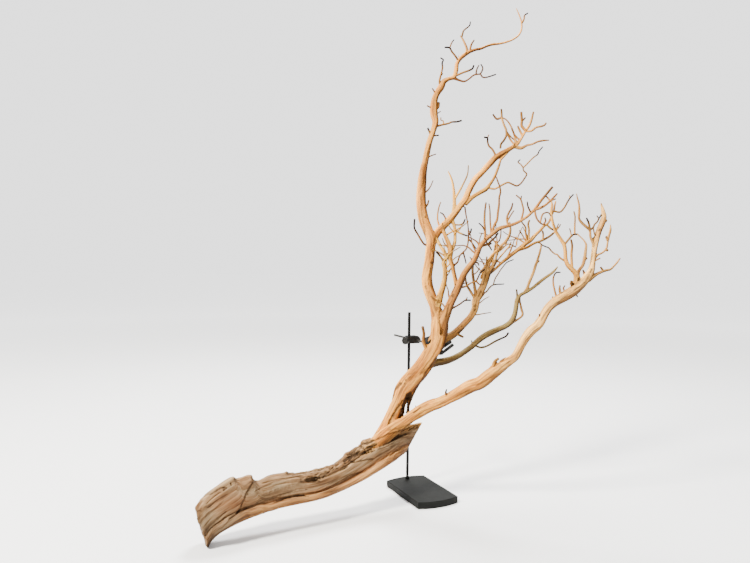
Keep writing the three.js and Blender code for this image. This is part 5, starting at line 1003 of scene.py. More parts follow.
# The trunk slab's furrows and torn end in metres, and its smooth face near that end in pixels.
# The step along the section and the notch that is filled there are in the section's own units.
SECTION_STEP = 0.028
FURROW_WIDTH = 0.014
FURROW_LENGTH = 0.16
FURROW_HEIGHT = 0.0013
FURROW_SINK = 0.0009
FURROWS_START = 0.02
TORN_GRAIN = np.array([1.6, 1.6, 0.1])
TORN_HEIGHT = 0.006
TORN_LENGTH = 0.03
TRUNK_RADIUS = 0.04
SMOOTH_FACE_ENDS = 312
SMOOTH_FACE_FADE = 16
NOTCH_HEIGHT = 0.38
NOTCH_WIDTH = 0.1
NOTCH_FILL = 0.2


def add_trunk(skin):
    """The trunk slab: stations carry one section, furrowed lengthwise and torn at the left end."""
    stations = smooth_rows([
        [*seen(top_x, top_y, depth), top_x, top_y, bottom_x, bottom_y, depth, thick]
        for top_x, top_y, bottom_x, bottom_y, depth, thick in TRUNK
    ], RING_STEP)[:, 3:]
    section = [[height, out, 0] for height, out in TRUNK_SECTION]
    section = smooth_rows(section, SECTION_STEP, closed=True)[::-1]
    height = section[:, 0][None, :]
    out = section[:, 1][None, :]
    top_x, top_y, bottom_x, bottom_y, depth, thick = (stations[:, i][:, None] for i in range(6))
    lift = (height + 1) / 2
    smooth_face = rise(top_x, SMOOTH_FACE_ENDS, -SMOOTH_FACE_FADE) * (out < 0)
    out = out - NOTCH_FILL * np.exp(-((height - NOTCH_HEIGHT) / NOTCH_WIDTH) ** 2) * smooth_face
    across = bottom_x + (top_x - bottom_x) * lift
    down = bottom_y + (top_y - bottom_y) * lift
    rings = seen(across, down, depth + out * thick / 2)
    centres = rings.mean(axis=1)
    alongs, _, _ = carried_frames(centres)
    sides = rings[:, np.argmax(section[:, 0])] - rings[:, np.argmin(section[:, 0])]
    sides = unit_rows(sides - alongs * np.sum(sides * alongs, axis=1, keepdims=True))
    others = np.cross(alongs, sides)
    travelled = lengths_along(centres)
    outward = rings - centres[:, None, :]
    distance = np.linalg.norm(outward, axis=2, keepdims=True)
    around = stacked(
        np.sum(outward * sides[:, None, :], axis=2) / FURROW_WIDTH,
        np.sum(outward * others[:, None, :], axis=2) / FURROW_WIDTH,
        travelled[:, None] / FURROW_LENGTH,
    )
    furrows = np.abs(layered_noise(around, 5, 2))
    relief = FURROW_HEIGHT * np.minimum(furrows * 2.2, 1) - FURROW_SINK
    fade = np.clip(travelled / FURROWS_START, 0, 1)[:, None]
    rings = rings + outward / distance * (relief * fade)[..., None]
    torn = np.exp(-travelled / TORN_LENGTH)[:, None] * soft_noise(around * TORN_GRAIN, 9)
    rings = rings + alongs[:, None, :] * (TORN_HEIGHT * torn)[..., None]
    skin.add("trunk", rings, centres, sides, others, alongs, travelled, np.full(len(centres), TRUNK_RADIUS))


# Between two points of a parent, a twig can root in this many places
ROOT_PLACES = 11


def rooted_rows(parent, lean, root_radius, tip_radius, points):
    """A twig's root is moved to the middle of what it grows from, and its depth starts there."""
    share = np.linspace(0, 1, ROOT_PLACES)[None, :, None]
    spans = (parent[:-1, None, :] * (1 - share) + parent[1:, None, :] * share).reshape(-1, 4)
    points = np.asarray(points, float)
    nearest = spans[np.argmin(np.hypot(spans[:, 0] - points[0, 0], spans[:, 1] - points[0, 1]))]
    count = len(points) - 1
    part = np.arange(count + 1) / count
    radii = root_radius + (tip_radius - root_radius) * part
    rows = np.column_stack([points, nearest[2] + lean * part, radii])
    rows[0, :2] = nearest[:2]
    return rows


# The fine web twigs: turns in radians, lengths in pixels, lean and radii in mm
WEB_STEPS = 5
WEB_FAN = 2.4
WEB_FAN_START = 0.45
WEB_BEND = 0.6
WEB_STRAY = 0.5
WEB_SHORTEST = 2.6
WEB_LONGER = 3.0
WEB_LEAN = 0.09
WEB_THINNEST = 2.1
WEB_THICKER = 0.7
WEB_TIP = 1.05


def web_twigs():
    """Fine twigs that fill the crown, each grown from a limb, mostly upwards."""
    draw = seeded_draws(WEB_SEED)
    twigs = {}
    for index in range(WEB_COUNT):
        host = WEB_HOSTS[int(next(draw) * len(WEB_HOSTS))]
        places = [row[:2] for row in LIMBS[host] if WEB_HIGHEST < row[1] < WEB_LOWEST and row[0] > WEB_LEFT]
        x, y = places[int(next(draw) * len(places))]
        turn = (next(draw) - WEB_FAN_START) * WEB_FAN
        bend = (next(draw) - 0.5) * WEB_BEND
        reach = WEB_SHORTEST + WEB_LONGER * next(draw)
        points = [[x, y]]
        for _ in range(WEB_STEPS):
            turn += bend * 0.5 + (next(draw) - 0.5) * WEB_STRAY
            x += reach * math.sin(turn)
            y -= reach * math.cos(turn)
            points.append([x, y])
        lean = (next(draw) - 0.5) * WEB_LEAN
        twigs[f"web{index}"] = [host, lean, WEB_THINNEST + WEB_THICKER * next(draw), WEB_TIP, points]
    return twigs


ALL_TWIGS = {**TWIGS, **SMALL_TWIGS, **web_twigs()}


def limb_rows():
    """The rows of every limb and twig, each twig rooted in what it grows from."""
    rows = {name: np.asarray(table, float) for name, table in LIMBS.items()}
    for name, (parent, lean, root_radius, tip_radius, points) in ALL_TWIGS.items():
        swell = BUNCH_SWELL if name.startswith("bunch") else TWIG_SWELL
        rows[name] = rooted_rows(rows[parent], lean, swell * root_radius, swell * tip_radius, points)
    return rows


# Broken spurs: which points of a limb they skip, how far they stand out in mm, how much they rise and lean,
# their radii in metres by place along them, and their rings, points round and roughness
SPUR_SKIP_FIRST = 3
SPUR_SKIP_ALL = 5
SPUR_SHORTEST = 5
SPUR_LONGER = 9
SPUR_RISE = 0.4
SPUR_LEAN = 0.5
SPUR_PLACES = (0, 0.5, 0.9, 1)
SPUR_RADII = (0.0042, 0.0026, 0.0018, 0.0011)
SPUR_RINGS = 7
SPUR_TURNS = 8
SPUR_ROUGH = 0.16
SPUR_LUMPS_ROUND = 2
SPUR_LUMPS_ALONG = 900


def spur_paths(rows):
    """Short broken spurs along the limbs."""
    draw = seeded_draws(SPUR_SEED)
    for _ in range(SPUR_COUNT):
        host_name = SPUR_HOSTS[int(next(draw) * len(SPUR_HOSTS))]
        host = rows[host_name]
        at = SPUR_SKIP_FIRST + int(next(draw) * (len(host) - SPUR_SKIP_ALL))
        turn = next(draw) * 2 * math.pi
        reach = (host[at][3] + SPUR_SHORTEST + SPUR_LONGER * next(draw)) / 1000
        root = seen(*host[at][:3])
        onward = unit(seen(*host[at + 1][:3]) - root)
        out = np.array([math.cos(turn), math.sin(turn), SPUR_RISE])
        out -= onward * (out @ onward)
        out = unit(unit(out) + SPUR_LEAN * onward)
        yield host_name, root, root + out * reach


def add_spur(skin, name, root, tip, seed):
    parts = np.linspace(0, 1, SPUR_RINGS)
    centres = np.array([root + (tip - root) * part for part in parts])
    radii = np.interp(parts, SPUR_PLACES, SPUR_RADII)
    alongs, sides, others = carried_frames(centres)
    angle = ring_angles(SPUR_TURNS)
    around = SPUR_LUMPS_ROUND
    lumps = stacked(np.cos(angle) * around, np.sin(angle) * around, radii[:, None] * SPUR_LUMPS_ALONG)
    wobble = 1 + SPUR_ROUGH * soft_noise(lumps, seed)
    rings = ring_points(centres, radii[:, None] * wobble, angle, sides, others)
    travelled = np.linalg.norm(centres - root, axis=1)
    skin.add(name, rings, centres, sides, others, alongs, travelled, radii)


# The CAD pieces that press on the stem, thickened and opened step by step, to be cut out of the wood
JAW_NODES = ("clamp_yoke", "moving_jaw", "upper_finger_sleeve", "lower_finger_sleeve")
JAW_PIVOT = Vector((0.07631, -0.07931, 0.503))
JAW_STEPS = (0, 3, 6, 9, 12.4)
JAW_CLEARANCE = 0.0009
JAW_ROOM_STEP = 0.0009


def turned_copy(node, angle):
    """A copy of a CAD piece's mesh, thickened and turned about the jaw's pivot."""
    loose = bmesh.new()
    loose.from_mesh(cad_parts[node].data)
    bmesh.ops.remove_doubles(loose, verts=loose.verts, dist=1e-5)
    loose.normal_update()
    for vertex in loose.verts:
        vertex.co += vertex.normal * JAW_CLEARANCE
    spin = Matrix.Rotation(math.radians(angle), 4, "Z")
    turn = Matrix.Translation(JAW_PIVOT) @ spin @ Matrix.Translation(-JAW_PIVOT)
    bmesh.ops.transform(loose, matrix=turn, verts=loose.verts)
    copy = bpy.data.meshes.new("jaw_copy")
    loose.to_mesh(copy)
    loose.free()
    return copy


def jaw_cutter():
    """The room that the clamp takes up, as one mesh."""
    gathered = bmesh.new()
    for node in JAW_NODES:
        for angle in (0,) if node == "clamp_yoke" else JAW_STEPS:
            copy = turned_copy(node, angle)
            gathered.from_mesh(copy)
            bpy.data.meshes.remove(copy)
    mesh = bpy.data.meshes.new("jaw_room")
    gathered.to_mesh(mesh)
    gathered.free()
    return remeshed(mesh, JAW_ROOM_STEP, "jaw_room")


def in_scene(name, mesh):
    """A new object in the scene."""
    piece = bpy.data.objects.new(name, mesh)
    bpy.context.scene.collection.objects.link(piece)
    return piece


def remeshed(mesh, step, name):
    """One closed skin round everything in the mesh."""
    rough = in_scene(name + "_rough", mesh)
    skin = rough.modifiers.new("skin", "REMESH")
    skin.mode = "VOXEL"
    skin.voxel_size = step
    skin.adaptivity = 0
    result = applied(rough)
    bpy.data.objects.remove(rough)
    return result


def applied(piece):
    """A piece's mesh with its modifiers worked in."""
    graph = bpy.context.evaluated_depsgraph_get()
    graph.update()
    whole = piece.evaluated_get(graph)
    return bpy.data.meshes.new_from_object(whole, preserve_all_data_layers=True, depsgraph=graph)


def cut_out(mesh, cutter_mesh):
    """The mesh less the room that the cutter takes."""
    wood = in_scene("wood_uncut", mesh)
    cutter = in_scene("jaw_room", cutter_mesh)
    room = wood.modifiers.new("room", "BOOLEAN")
    room.operation = "DIFFERENCE"
    room.solver = "MANIFOLD"
    room.object = cutter
    result = applied(wood)
    for piece in (wood, cutter):
        bpy.data.objects.remove(piece)
    return result


def read_values(items, name, width, kind=float):
    """One value or a few from each of a mesh's points or edges."""
    values = np.empty(len(items) * width, dtype=kind)
    items.foreach_get(name, values)
    return values.reshape(-1, width)


# How strongly points are drawn together, then pushed back so that the limbs keep their size
DRAWN_TOGETHER = 0.5
PUSHED_BACK = -0.42


def relaxed(mesh, rounds):
    """Neighbouring points drawn together a little."""
    places = read_values(mesh.vertices, "co", 3)
    edges = read_values(mesh.edges, "vertices", 2, np.int64)
    links = np.bincount(edges.ravel(), minlength=len(places))[:, None]
    for _ in range(rounds):
        for pull in (DRAWN_TOGETHER, PUSHED_BACK):
            total = np.zeros_like(places)
            np.add.at(total, edges[:, 0], places[edges[:, 1]])
            np.add.at(total, edges[:, 1], places[edges[:, 0]])
            places = places + pull * (total / links - places)
    mesh.vertices.foreach_set("co", places.ravel())
    mesh.update()


# Moves each tube's grain to a place of its own in the noise
GRAIN_APART = np.array([0.31, 0.17, 0.53])


class Wood:
    """Every point of a wood mesh, with its place along and across its limb."""

    def __init__(self, mesh, skin):
        self.mesh = mesh
        self.places = read_values(mesh.vertices, "co", 3)
        self.normals = read_values(mesh.vertices, "normal", 3)
        self.tubes = skin.tubes
        self.tube, ring = self.nearest_rings(skin).T
        starts = np.cumsum([0] + [len(tube["centres"]) for tube in self.tubes])
        at = starts[self.tube] + ring
        own = {field: np.concatenate([tube[field] for tube in self.tubes])[at] for field in TUBE_FIELDS}
        offset = self.places - own["centres"]
        along, side, other = (np.sum(offset * own[field], axis=1) for field in ("alongs", "sides", "others"))
        outward = offset - own["alongs"] * along[:, None]
        self.outward = outward / np.maximum(np.linalg.norm(outward, axis=1, keepdims=True), 1e-6)
        self.radius = own["radii"]
        self.length = np.array([tube["travelled"][-1] for tube in self.tubes])[self.tube]
        self.travelled = own["travelled"] + along
        self.grain = np.stack([side, other, self.travelled], axis=-1) + self.tube[:, None] * GRAIN_APART
        self.names = np.array([tube["name"] for tube in self.tubes])[self.tube]
        # How dark each point is painted: shade in furrows, creases, crumbs, cracks and hollows, with the
        # wood's own dark in knots and rot
        self.shade_and_cracks = np.zeros(len(self.places))

    def nearest_rings(self, skin):
        """The tube and the ring that each point lies nearest to."""
        points = np.vstack(skin.points)
        tree = kdtree.KDTree(len(points))
        for index, point in enumerate(points):
            tree.insert(point, index)
        tree.balance()
        return np.vstack(skin.rings)[[tree.find(place)[1] for place in self.places]]

    def move(self, distance):
        self.places = self.places + self.normals * distance[:, None]
        self.mesh.vertices.foreach_set("co", self.places.ravel())
        self.mesh.update()
        self.normals = read_values(self.mesh.vertices, "normal", 3)


# The clamp's middle and reach, and how far from its pieces the wood starts to move, in metres
CLAMP_MIDDLE = np.array([0.06, -0.13, 0.5])
CLAMP_REACH = 0.13
STILL_WITHIN = 0.003
STILL_FADE = 0.005


def away_from_jaws(wood):
    """How free each point is to move: nothing within a few mm of the clamp."""
    free = np.ones(len(wood.places))
    near = np.linalg.norm(wood.places - CLAMP_MIDDLE, axis=1) < CLAMP_REACH
    trees = []
    for node in JAW_NODES:
        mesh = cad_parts[node].data
        corners = [vertex.co for vertex in mesh.vertices]
        trees.append(BVHTree.FromPolygons(corners, [tuple(polygon.vertices) for polygon in mesh.polygons]))
    for index in np.nonzero(near)[0]:
        closest = min(tree.find_nearest(Vector(wood.places[index]))[3] for tree in trees)
        free[index] = rise(closest, STILL_WITHIN, STILL_FADE)
    return free


def line_distance(across, down, line):
    """Distance on the sheet from points to a drawn line, and how far along it they lie."""
    best = np.full(len(across), np.inf)
    part_of = np.zeros(len(across))
    lengths = np.hypot(*(line[1:] - line[:-1]).T)
    total = lengths.sum()
    done = 0.0
    for (start_x, start_y), (end_x, end_y), length in zip(line[:-1], line[1:], lengths):
        step_x = end_x - start_x
        step_y = end_y - start_y
        part = ((across - start_x) * step_x + (down - start_y) * step_y) / length ** 2
        part = np.clip(part, 0, 1)
        distance = np.hypot(across - start_x - part * step_x, down - start_y - part * step_y)
        closer = distance < best
        best = np.where(closer, distance, best)
        part_of = np.where(closer, (done + part * length) / total, part_of)
        done += length
    return best, part_of


# Lengthwise relief: grain sizes across and along in metres, heights in metres
FINE_GRAIN = np.array([0.0045, 0.0045, 0.06])
BROAD_GRAIN = np.array([0.011, 0.011, 0.09])
FURROW_GRAIN = np.array([0.012, 0.012, 0.11])
CREASE_GRAIN = np.array([0.009, 0.009, 0.14])
LIMB_FINE_HEIGHT = 0.00045
LIMB_BROAD_HEIGHT = 0.0009
LIMB_CREASE_DEPTH = 0.0006
TRUNK_FINE_HEIGHT = 0.0006
TRUNK_FURROW_HEIGHT = 0.0026
THIN_LIMB = 0.003
THICKER_BY = 0.012

# Painted shade along the bottoms of furrows and creases: how dark, and how near the noise comes to nothing
# there
FURROW_SHADE = 0.7
FURROW_LINE = 0.05
LIMB_CREASE_SHADE = 0.55
LIMB_CREASE_LINE = 0.055
LIMB_CREASE_GROOVE = 0.09


def weather(wood, free):
    """Lengthwise ridges everywhere, coarse and furrowed on the trunk, fine on the limbs, with painted shade
    along the bottoms of the furrows and creases.
    """
    trunk = wood.names == "trunk"
    thick = rise(wood.radius, THIN_LIMB, THICKER_BY)
    away = wood.normals @ AHEAD
    fine = layered_noise(wood.grain / FINE_GRAIN, 31, 2)
    broad = soft_noise(wood.grain / BROAD_GRAIN, 37)
    furrow = np.abs(layered_noise(wood.grain / FURROW_GRAIN, 41, 2))
    crease = np.abs(layered_noise(wood.grain / CREASE_GRAIN, 47, 2))
    behind = np.clip(away + 0.4, 0.12, 1)
    ridges = np.minimum(furrow * 2.4, 1) - 0.75
    trunk_relief = TRUNK_FINE_HEIGHT * fine + TRUNK_FURROW_HEIGHT * behind * ridges
    limb_relief = thick * (LIMB_FINE_HEIGHT * fine + LIMB_BROAD_HEIGHT * broad)
    limb_relief = limb_relief - LIMB_CREASE_DEPTH * thick * fading(crease, LIMB_CREASE_GROOVE)
    # Painted shade at the bottoms of the furrows, deeper on faces turned away from the eye, and in the limbs'
    # creases
    furrow_shade = FURROW_SHADE * np.clip(away + 0.55, 0.06, 1) * fading(furrow, FURROW_LINE)
    crease_shade = LIMB_CREASE_SHADE * thick * fading(crease, LIMB_CREASE_LINE)
    wood.shade_and_cracks = np.maximum(wood.shade_and_cracks, np.where(trunk, furrow_shade, crease_shade))
    wood.move(np.where(trunk, trunk_relief, limb_relief) * free)


def raise_flap(wood, free):
    """The torn plate at the trunk's left end, proud of the slab and thinning away from its edge."""
    across, down = sketch_of(wood.places)
    facing = np.clip(-(wood.normals @ AHEAD) * 2, 0, 1)
    line = np.asarray(FLAP_LINE, float)
    edge = np.interp(down, line[:, 1], line[:, 0])
    inward = edge + FLAP_RAGGED * soft_noise(wood.places / FLAP_RAGGED_SIZE, 61) - across
    lift = np.clip(inward / FLAP_STEP_WIDTH, 0, 1) * np.clip(1.25 - inward / FLAP_LENGTH, 0.25, 1)
    lift *= rise(down, FLAP_BOTTOM, -FLAP_BOTTOM_FADE) * (wood.names == "trunk") * facing
    wood.move(FLAP_PROUD * lift * free)


def ragged_crest(wood, free):
    """Crumbling bark along the top edge of the slab, with painted shade in the hollows between the crumbs."""
    across, down = sketch_of(wood.places)
    crest = np.interp(across, CREST_ACROSS, CREST_DOWN)
    spread = np.interp(across, CREST_ACROSS, CREST_SPREAD)
    top = np.clip(wood.normals[:, 2] * 2.4 - 0.3, 0, 1) * (wood.names == "trunk")
    top *= rise(down, crest + CREST_BELOW, -CREST_FADE)
    crumb = layered_noise(wood.grain / CRUMB_GRAIN, 67, 3)
    lift = CRUMB_HEIGHT * np.clip(crumb * 1.6 + 0.1, -0.5, 0.8) * spread
    for x, y, size, height in CREST_BUMPS:
        lift += height * np.exp(-((across - x) ** 2 + (down - y) ** 2) / size ** 2)
    wood.move(lift * top * free)
    # Painted shade in the hollows between the crumbs
    wood.shade_and_cracks = np.maximum(wood.shade_and_cracks, np.clip(-crumb, 0, 0.3) * 2.6 * top * spread)


# How marks are pressed in: limbs get wider and darker marks than the trunk
MM_PER_PIXEL = 3.4
MARK_MARGIN = 3
LIMB_MARK_WIDER = 1.65
LIMB_MARK_DARKER = 1.4
MARK_RAGGED = 0.006
MARK_STEEPEST = 0.75


def press_marks(wood, free):
    """Cracks, furrows, knots and rot on the side that faces the eye, sunk in and darkened: painted shade,
    with the wood's own dark in knots and rot.
    """
    across, down = sketch_of(wood.places)
    facing = -(wood.normals @ AHEAD)
    scale = (wood.places - EYE) @ AHEAD / SKETCH_REACH
    ragged = layered_noise(wood.places / MARK_RAGGED, 21, 2)
    sunk = np.zeros(len(across))
    for hosts, width, depth, darkness, line in MARKS.values():
        points = np.asarray(line, float)
        margin = width / MM_PER_PIXEL + MARK_MARGIN
        low = points.min(axis=0) - margin
        high = points.max(axis=0) + margin
        chosen = (across > low[0]) & (across < high[0]) & (down > low[1]) & (down < high[1])
        chosen &= np.isin(wood.names, list(MARK_HOSTS[hosts])) & (facing > 0.05)
        index = np.nonzero(chosen)[0]
        distance, part = line_distance(across[index], down[index], points)
        ends = np.clip(np.minimum(part, 1 - part) * 7 + 0.45, 0, 1)
        wider, darker = (1, 1) if hosts == "trunk" else (LIMB_MARK_WIDER, LIMB_MARK_DARKER)
        half = wider * width / 2000 * (0.85 + 0.3 * ragged[index]) * ends
        shadow = min(darker * darkness, 1) * (0.86 + 0.14 * ragged[index])
        close = distance * scale[index] / np.maximum(0.8 * half, 1e-5)
        deepest = min(depth, MARK_STEEPEST * width) / 1000
        sunk[index] = np.maximum(sunk[index], deepest * np.exp(-close ** 2) * ends)
        wood.shade_and_cracks[index] = np.maximum(wood.shade_and_cracks[index], shadow * np.exp(-(close * 0.8) ** 4))
    wood.move(-sunk * free)


def tone_of(name, tones):
    """A limb's own tone, or for a twig the tone of the limb that it grows from."""
    while name not in tones:
        name = ALL_TWIGS[name][0]
    return tones[name]


def mixed(colour, share, tone):
    """A colour moved towards a tone by a share."""
    return colour * (1 - share) + share * tone


def limb_colours(wood, colour, patch):
    """The trunk's pale bead, dark seam and ruddy and grey places, and the pale end of the long arm."""
    across, down = (value[:, None] for value in sketch_of(wood.places))
    trunk = (wood.names == "trunk")[:, None]
    arm = (wood.names == "outerArm")[:, None]
    front = np.clip(-(wood.normals @ AHEAD) * 2 + 0.6, 0, 1)[:, None]
    bead_line = np.interp(across, BEAD_ACROSS, BEAD_DOWN)
    bead = front * rise(across, BEAD_START, 30) / (1 + np.exp(-(down - bead_line) / 1.3)) * trunk
    bead_light = (0.7 + 0.3 * rise(across, BEAD_LIT, 50)) * (0.9 + 0.1 * patch)
    seam = np.exp(-((down - bead_line + 1) / SEAM_WIDTH) ** 2) * front * rise(across, SEAM_START, 20) * trunk
    ruddy_x = (across - RUDDY_SPOT[0]) / RUDDY_SIZE[0]
    ruddy_y = (down - RUDDY_SPOT[1]) / RUDDY_SIZE[1]
    ruddy = fading(np.hypot(ruddy_x, ruddy_y), 1) * trunk
    grey_end = rise(across, GREY_END[0], -20) * rise(down, GREY_END[1], 30) * trunk
    upper = rise(across, UPPER_START, 30) * (down < bead_line - UPPER_ABOVE) * trunk
    pale_arm = np.clip((across - PALE_ARM_START) / 60, 0, 0.85) * arm
    colour = colour * (1 + 0.22 * fading(np.abs(across - MID_TRUNK), 60) * trunk)
    colour = mixed(colour, bead, wood_tone(BEAD) * bead_light)
    for share, tone in (
        (0.4 * seam, SEAM), (0.7 * ruddy, RUDDY), (0.35 * grey_end, BLACK), (0.75 * upper, TAN),
        (pale_arm, PALE_ARM),
    ):
        colour = mixed(colour, share, wood_tone(tone))
    return colour


def twig_colours(wood, colour, _):
    """Twigs darken towards their tips, and some are dark all along."""
    part = (wood.travelled / np.maximum(wood.length, 1e-4))[:, None]
    dark_twig = np.isin(wood.names, list(DARK_TWIGS))[:, None]
    share = np.clip(part * 1.5 - 0.15, 0, 1) * np.where(dark_twig, 1, 0.72)
    share = np.maximum(share, np.where(dark_twig, 0.55, 0))
    return mixed(colour, share, wood_tone(DUSK))


# The side of every limb that lies away from the light, how shade and blush tint the wood, and the sizes in
# metres of lighter patches and blushes
FAR_SIDE = np.array([0.76, -0.1, -0.64])
SHADE_TINT = np.array([0.13, 0.11, 0.1])
BLUSH_TINT = np.array([0.04, -0.03, -0.09])
DEEPEST_SHADE = 0.93
PATCH_SIZE = 0.05
BLUSH_SIZE = 0.028


def shaded(wood, colour, patch):
    """Undersides and the sides away from the light go darker, the lit side lighter."""
    trunk = (wood.names == "trunk")[:, None]
    way = np.where(trunk, wood.normals, 0.8 * wood.outward + 0.2 * wood.normals)
    rightward = way[:, 0:1]
    upward = way[:, 2:3]
    under = np.clip(-upward * 1.4 - 0.2 + 0.2 * patch, 0, 1)
    right = np.clip(rightward * 2.2 - 0.85 + 0.25 * patch, 0, 1)
    far_side = np.clip((way @ FAR_SIDE)[:, None] * 2.2 - 0.5 + 0.45 * patch, 0, 1)
    slender = np.clip((0.017 - wood.radius) / 0.007, 0.5, 1)[:, None] * ~trunk
    shade = np.clip(0.55 * under + 0.55 * right + 0.9 * far_side * slender, 0, DEEPEST_SHADE)
    lit = np.clip(-rightward * 1.3 + 0.5 * upward - 0.35, 0, 1)
    return mixed(colour * (1 + 0.42 * lit), shade, colour * SHADE_TINT)


def tint(wood, own_colours):
    """The wood's tone at each point: by limb, weathering and marks, with painted shade on undersides and the
    side away from the light, and a painted highlight on the lit side.
    """
    tones = {name: wood_tone(tone) for name, tone in LIMB_TONES.items()}
    base = np.array([tone_of(tube["name"], tones) for tube in wood.tubes])[wood.tube]
    patch = soft_noise(wood.places / PATCH_SIZE, 51)[:, None]
    blush = soft_noise(wood.places / BLUSH_SIZE + 7, 53)[:, None]
    colour = base * (1 + 0.1 * patch) * (1 + blush * BLUSH_TINT)
    colour = shaded(wood, own_colours(wood, colour, patch), patch)
    return np.clip(colour, 0.001, 1)


def write_marks(mesh, wood, colour):
    """Grain, the painted shade in cracks and creases with the wood's own dark, and the tint with its painted
    shade are written to the mesh, where the material reads them.
    """
    for name, kind, field, values in (
        ("grain", "FLOAT_VECTOR", "vector", wood.grain), ("crack_and_crevice_shade", "FLOAT", "value", wood.shade_and_cracks),
    ):
        layer = mesh.attributes.new(name, kind, "POINT")
        layer.data.foreach_set(field, values.ravel())
    layer = mesh.color_attributes.new("tint", "FLOAT_COLOR", "POINT")
    layer.data.foreach_set("color", np.column_stack([colour, np.ones(len(colour))]).ravel())


def placed(name, mesh, material):
    """A smooth piece of one material."""
    piece = in_scene(name, mesh)
    mesh.materials.clear()
    mesh.materials.append(material)
    for polygon in mesh.polygons:
        polygon.use_smooth = True
    return piece


def split_piece(mesh, keep, name, normals):
    """A part of a mesh as its own mesh, shaded as if it were still whole."""
    part = bpy.data.meshes.new(name)
    copy = bmesh.new()
    copy.from_mesh(mesh)
    order = copy.verts.layers.int.new("order")
    for vertex in copy.verts:
        vertex[order] = vertex.index
    copy.faces.ensure_lookup_table()
    lost = [copy.faces[i] for i in np.nonzero(~keep)[0].tolist()]
    bmesh.ops.delete(copy, geom=lost, context="FACES")
    kept = [vertex[order] for vertex in copy.verts]
    copy.verts.layers.int.remove(copy.verts.layers.int["order"])
    copy.to_mesh(part)
    copy.free()
    for polygon in part.polygons:
        polygon.use_smooth = True
    part.normals_split_custom_set_from_vertices(normals[kept].tolist())
    return part


class Nodes:
    """A material's nodes, wired as they are made."""

    def __init__(self, name, tone, roughness, specular):
        self.material = bpy.data.materials.new(name)
        self.material.use_nodes = True
        self.tree = self.material.node_tree
        self.shader = self.tree.nodes["Principled BSDF"]
        self.material.diffuse_color = (*screen_tone(tone), 1)
        self.set("Base Color", (*screen_tone(tone), 1))
        self.set("Roughness", roughness)
        self.set("Specular IOR Level", specular)

    def set(self, name, value):
        self.shader.inputs[name].default_value = value

    def add(self, kind, links=(), **settings):
        node = self.tree.nodes.new(kind)
        for key, value in settings.items():
            setattr(node, key, value)
        for key, source in dict(links).items():
            socket = node.inputs[key]
            if hasattr(source, "links"):
                self.tree.links.new(source, socket)
            else:
                socket.default_value = (*source, 1) if socket.type == "RGBA" else source
        return node

    def attribute(self, name, output):
        return self.add("ShaderNodeAttribute", attribute_name=name).outputs[output]

    def place(self):
        return self.add("ShaderNodeTexCoord").outputs["Object"]

    def math(self, operation, a, b, clamp=False):
        return self.add("ShaderNodeMath", {0: a, 1: b}, operation=operation, use_clamp=clamp).outputs[0]

    def scaled(self, value, factor, offset, clamp=False):
        return self.math("ADD", offset, self.math("MULTIPLY", value, factor), clamp)

    def noise(self, vector, scale, detail, roughness):
        links = {"Vector": vector, "Scale": scale, "Detail": detail, "Roughness": roughness}
        return self.add("ShaderNodeTexNoise", links).outputs["Fac"]

    def ramp(self, value, stops):
        node = self.add("ShaderNodeValToRGB", {"Fac": value})
        elements = node.color_ramp.elements
        while len(elements) < len(stops):
            elements.new(0.5)
        for element, (place, shade) in zip(elements, stops):
            element.position = place
            element.color = (*shade, 1) if isinstance(shade, tuple) else (shade, shade, shade, 1)
        return node.outputs["Color"]

    def shades(self, value, base, stops):
        """A ramp from darker to lighter shades of one colour."""
        return self.ramp(value, [(place, tuple(base * share)) for place, share in stops])

    def blend(self, factor, first, second, mode="MIX"):
        links = {0: factor, 6: first, 7: second}
        return self.add("ShaderNodeMix", links, data_type="RGBA", blend_type=mode).outputs[2]

    def stretched(self, vector, scale):
        return self.add("ShaderNodeMapping", {"Vector": vector, "Scale": scale}).outputs["Vector"]

    def bump(self, height, distance, strength, below=None):
        links = {"Height": height, "Distance": distance, "Strength": strength}
        if below is not None:
            links["Normal"] = below
        return self.add("ShaderNodeBump", links).outputs["Normal"]

    def finish(self, colour, roughness, normal):
        for name, source in (("Base Color", colour), ("Roughness", roughness), ("Normal", normal)):
            self.tree.links.new(source, self.shader.inputs[name])
        return self.material


# The wood's noises: for those along the grain how much it is drawn out, then scale, detail and roughness
GRAIN_NOISES = {
    "fibre": (0.045, 260, 5, 0.62),
    "streak": (0.07, 105, 4, 0.6),
    "band": (0.16, 42, 3, 0.5),
    "check": (0.05, 95, 2, 0.4),
}
BLOTCH_NOISE = (16, 4, 0.6)
PIT_NOISE = (420, 3, 0.6)

# How the noises tint the wood: stops of a noise's value and a factor for red, green and blue
STREAK_STOPS = (
    (0.36, (0.34, 0.25, 0.17)), (0.45, (0.74, 0.66, 0.58)), (0.54, (1.0, 1.0, 1.0)),
    (0.68, (1.2, 1.19, 1.12)),
)
FIBRE_STOPS = ((0.36, (0.55, 0.48, 0.42)), (0.52, (1.0, 1.0, 1.0)), (0.7, (1.15, 1.13, 1.1)))
BAND_STOPS = (
    (0.38, (0.6, 0.47, 0.36)), (0.47, (0.92, 0.86, 0.8)), (0.54, (1.05, 1.02, 0.98)),
    (0.64, (1.16, 1.15, 1.12)),
)
BLOTCH_STOPS = ((0.36, (0.9, 0.84, 0.76)), (0.52, (1.0, 0.98, 0.96)), (0.66, (1.06, 1.03, 0.94)))
WEAR_AND_CREASE_SHADE_STOPS = ((0.0, (0.45, 0.36, 0.28)), (0.5, (1.0, 1.0, 1.0)), (1.0, (1.2, 1.17, 1.12)))
DEEP_DARK_AND_SHADE_STOPS = ((0.35, (0.018, 0.009, 0.004)), (0.7, (0.075, 0.042, 0.02)))
THIN_CRACK = (0.055, 0.03, 0.016)


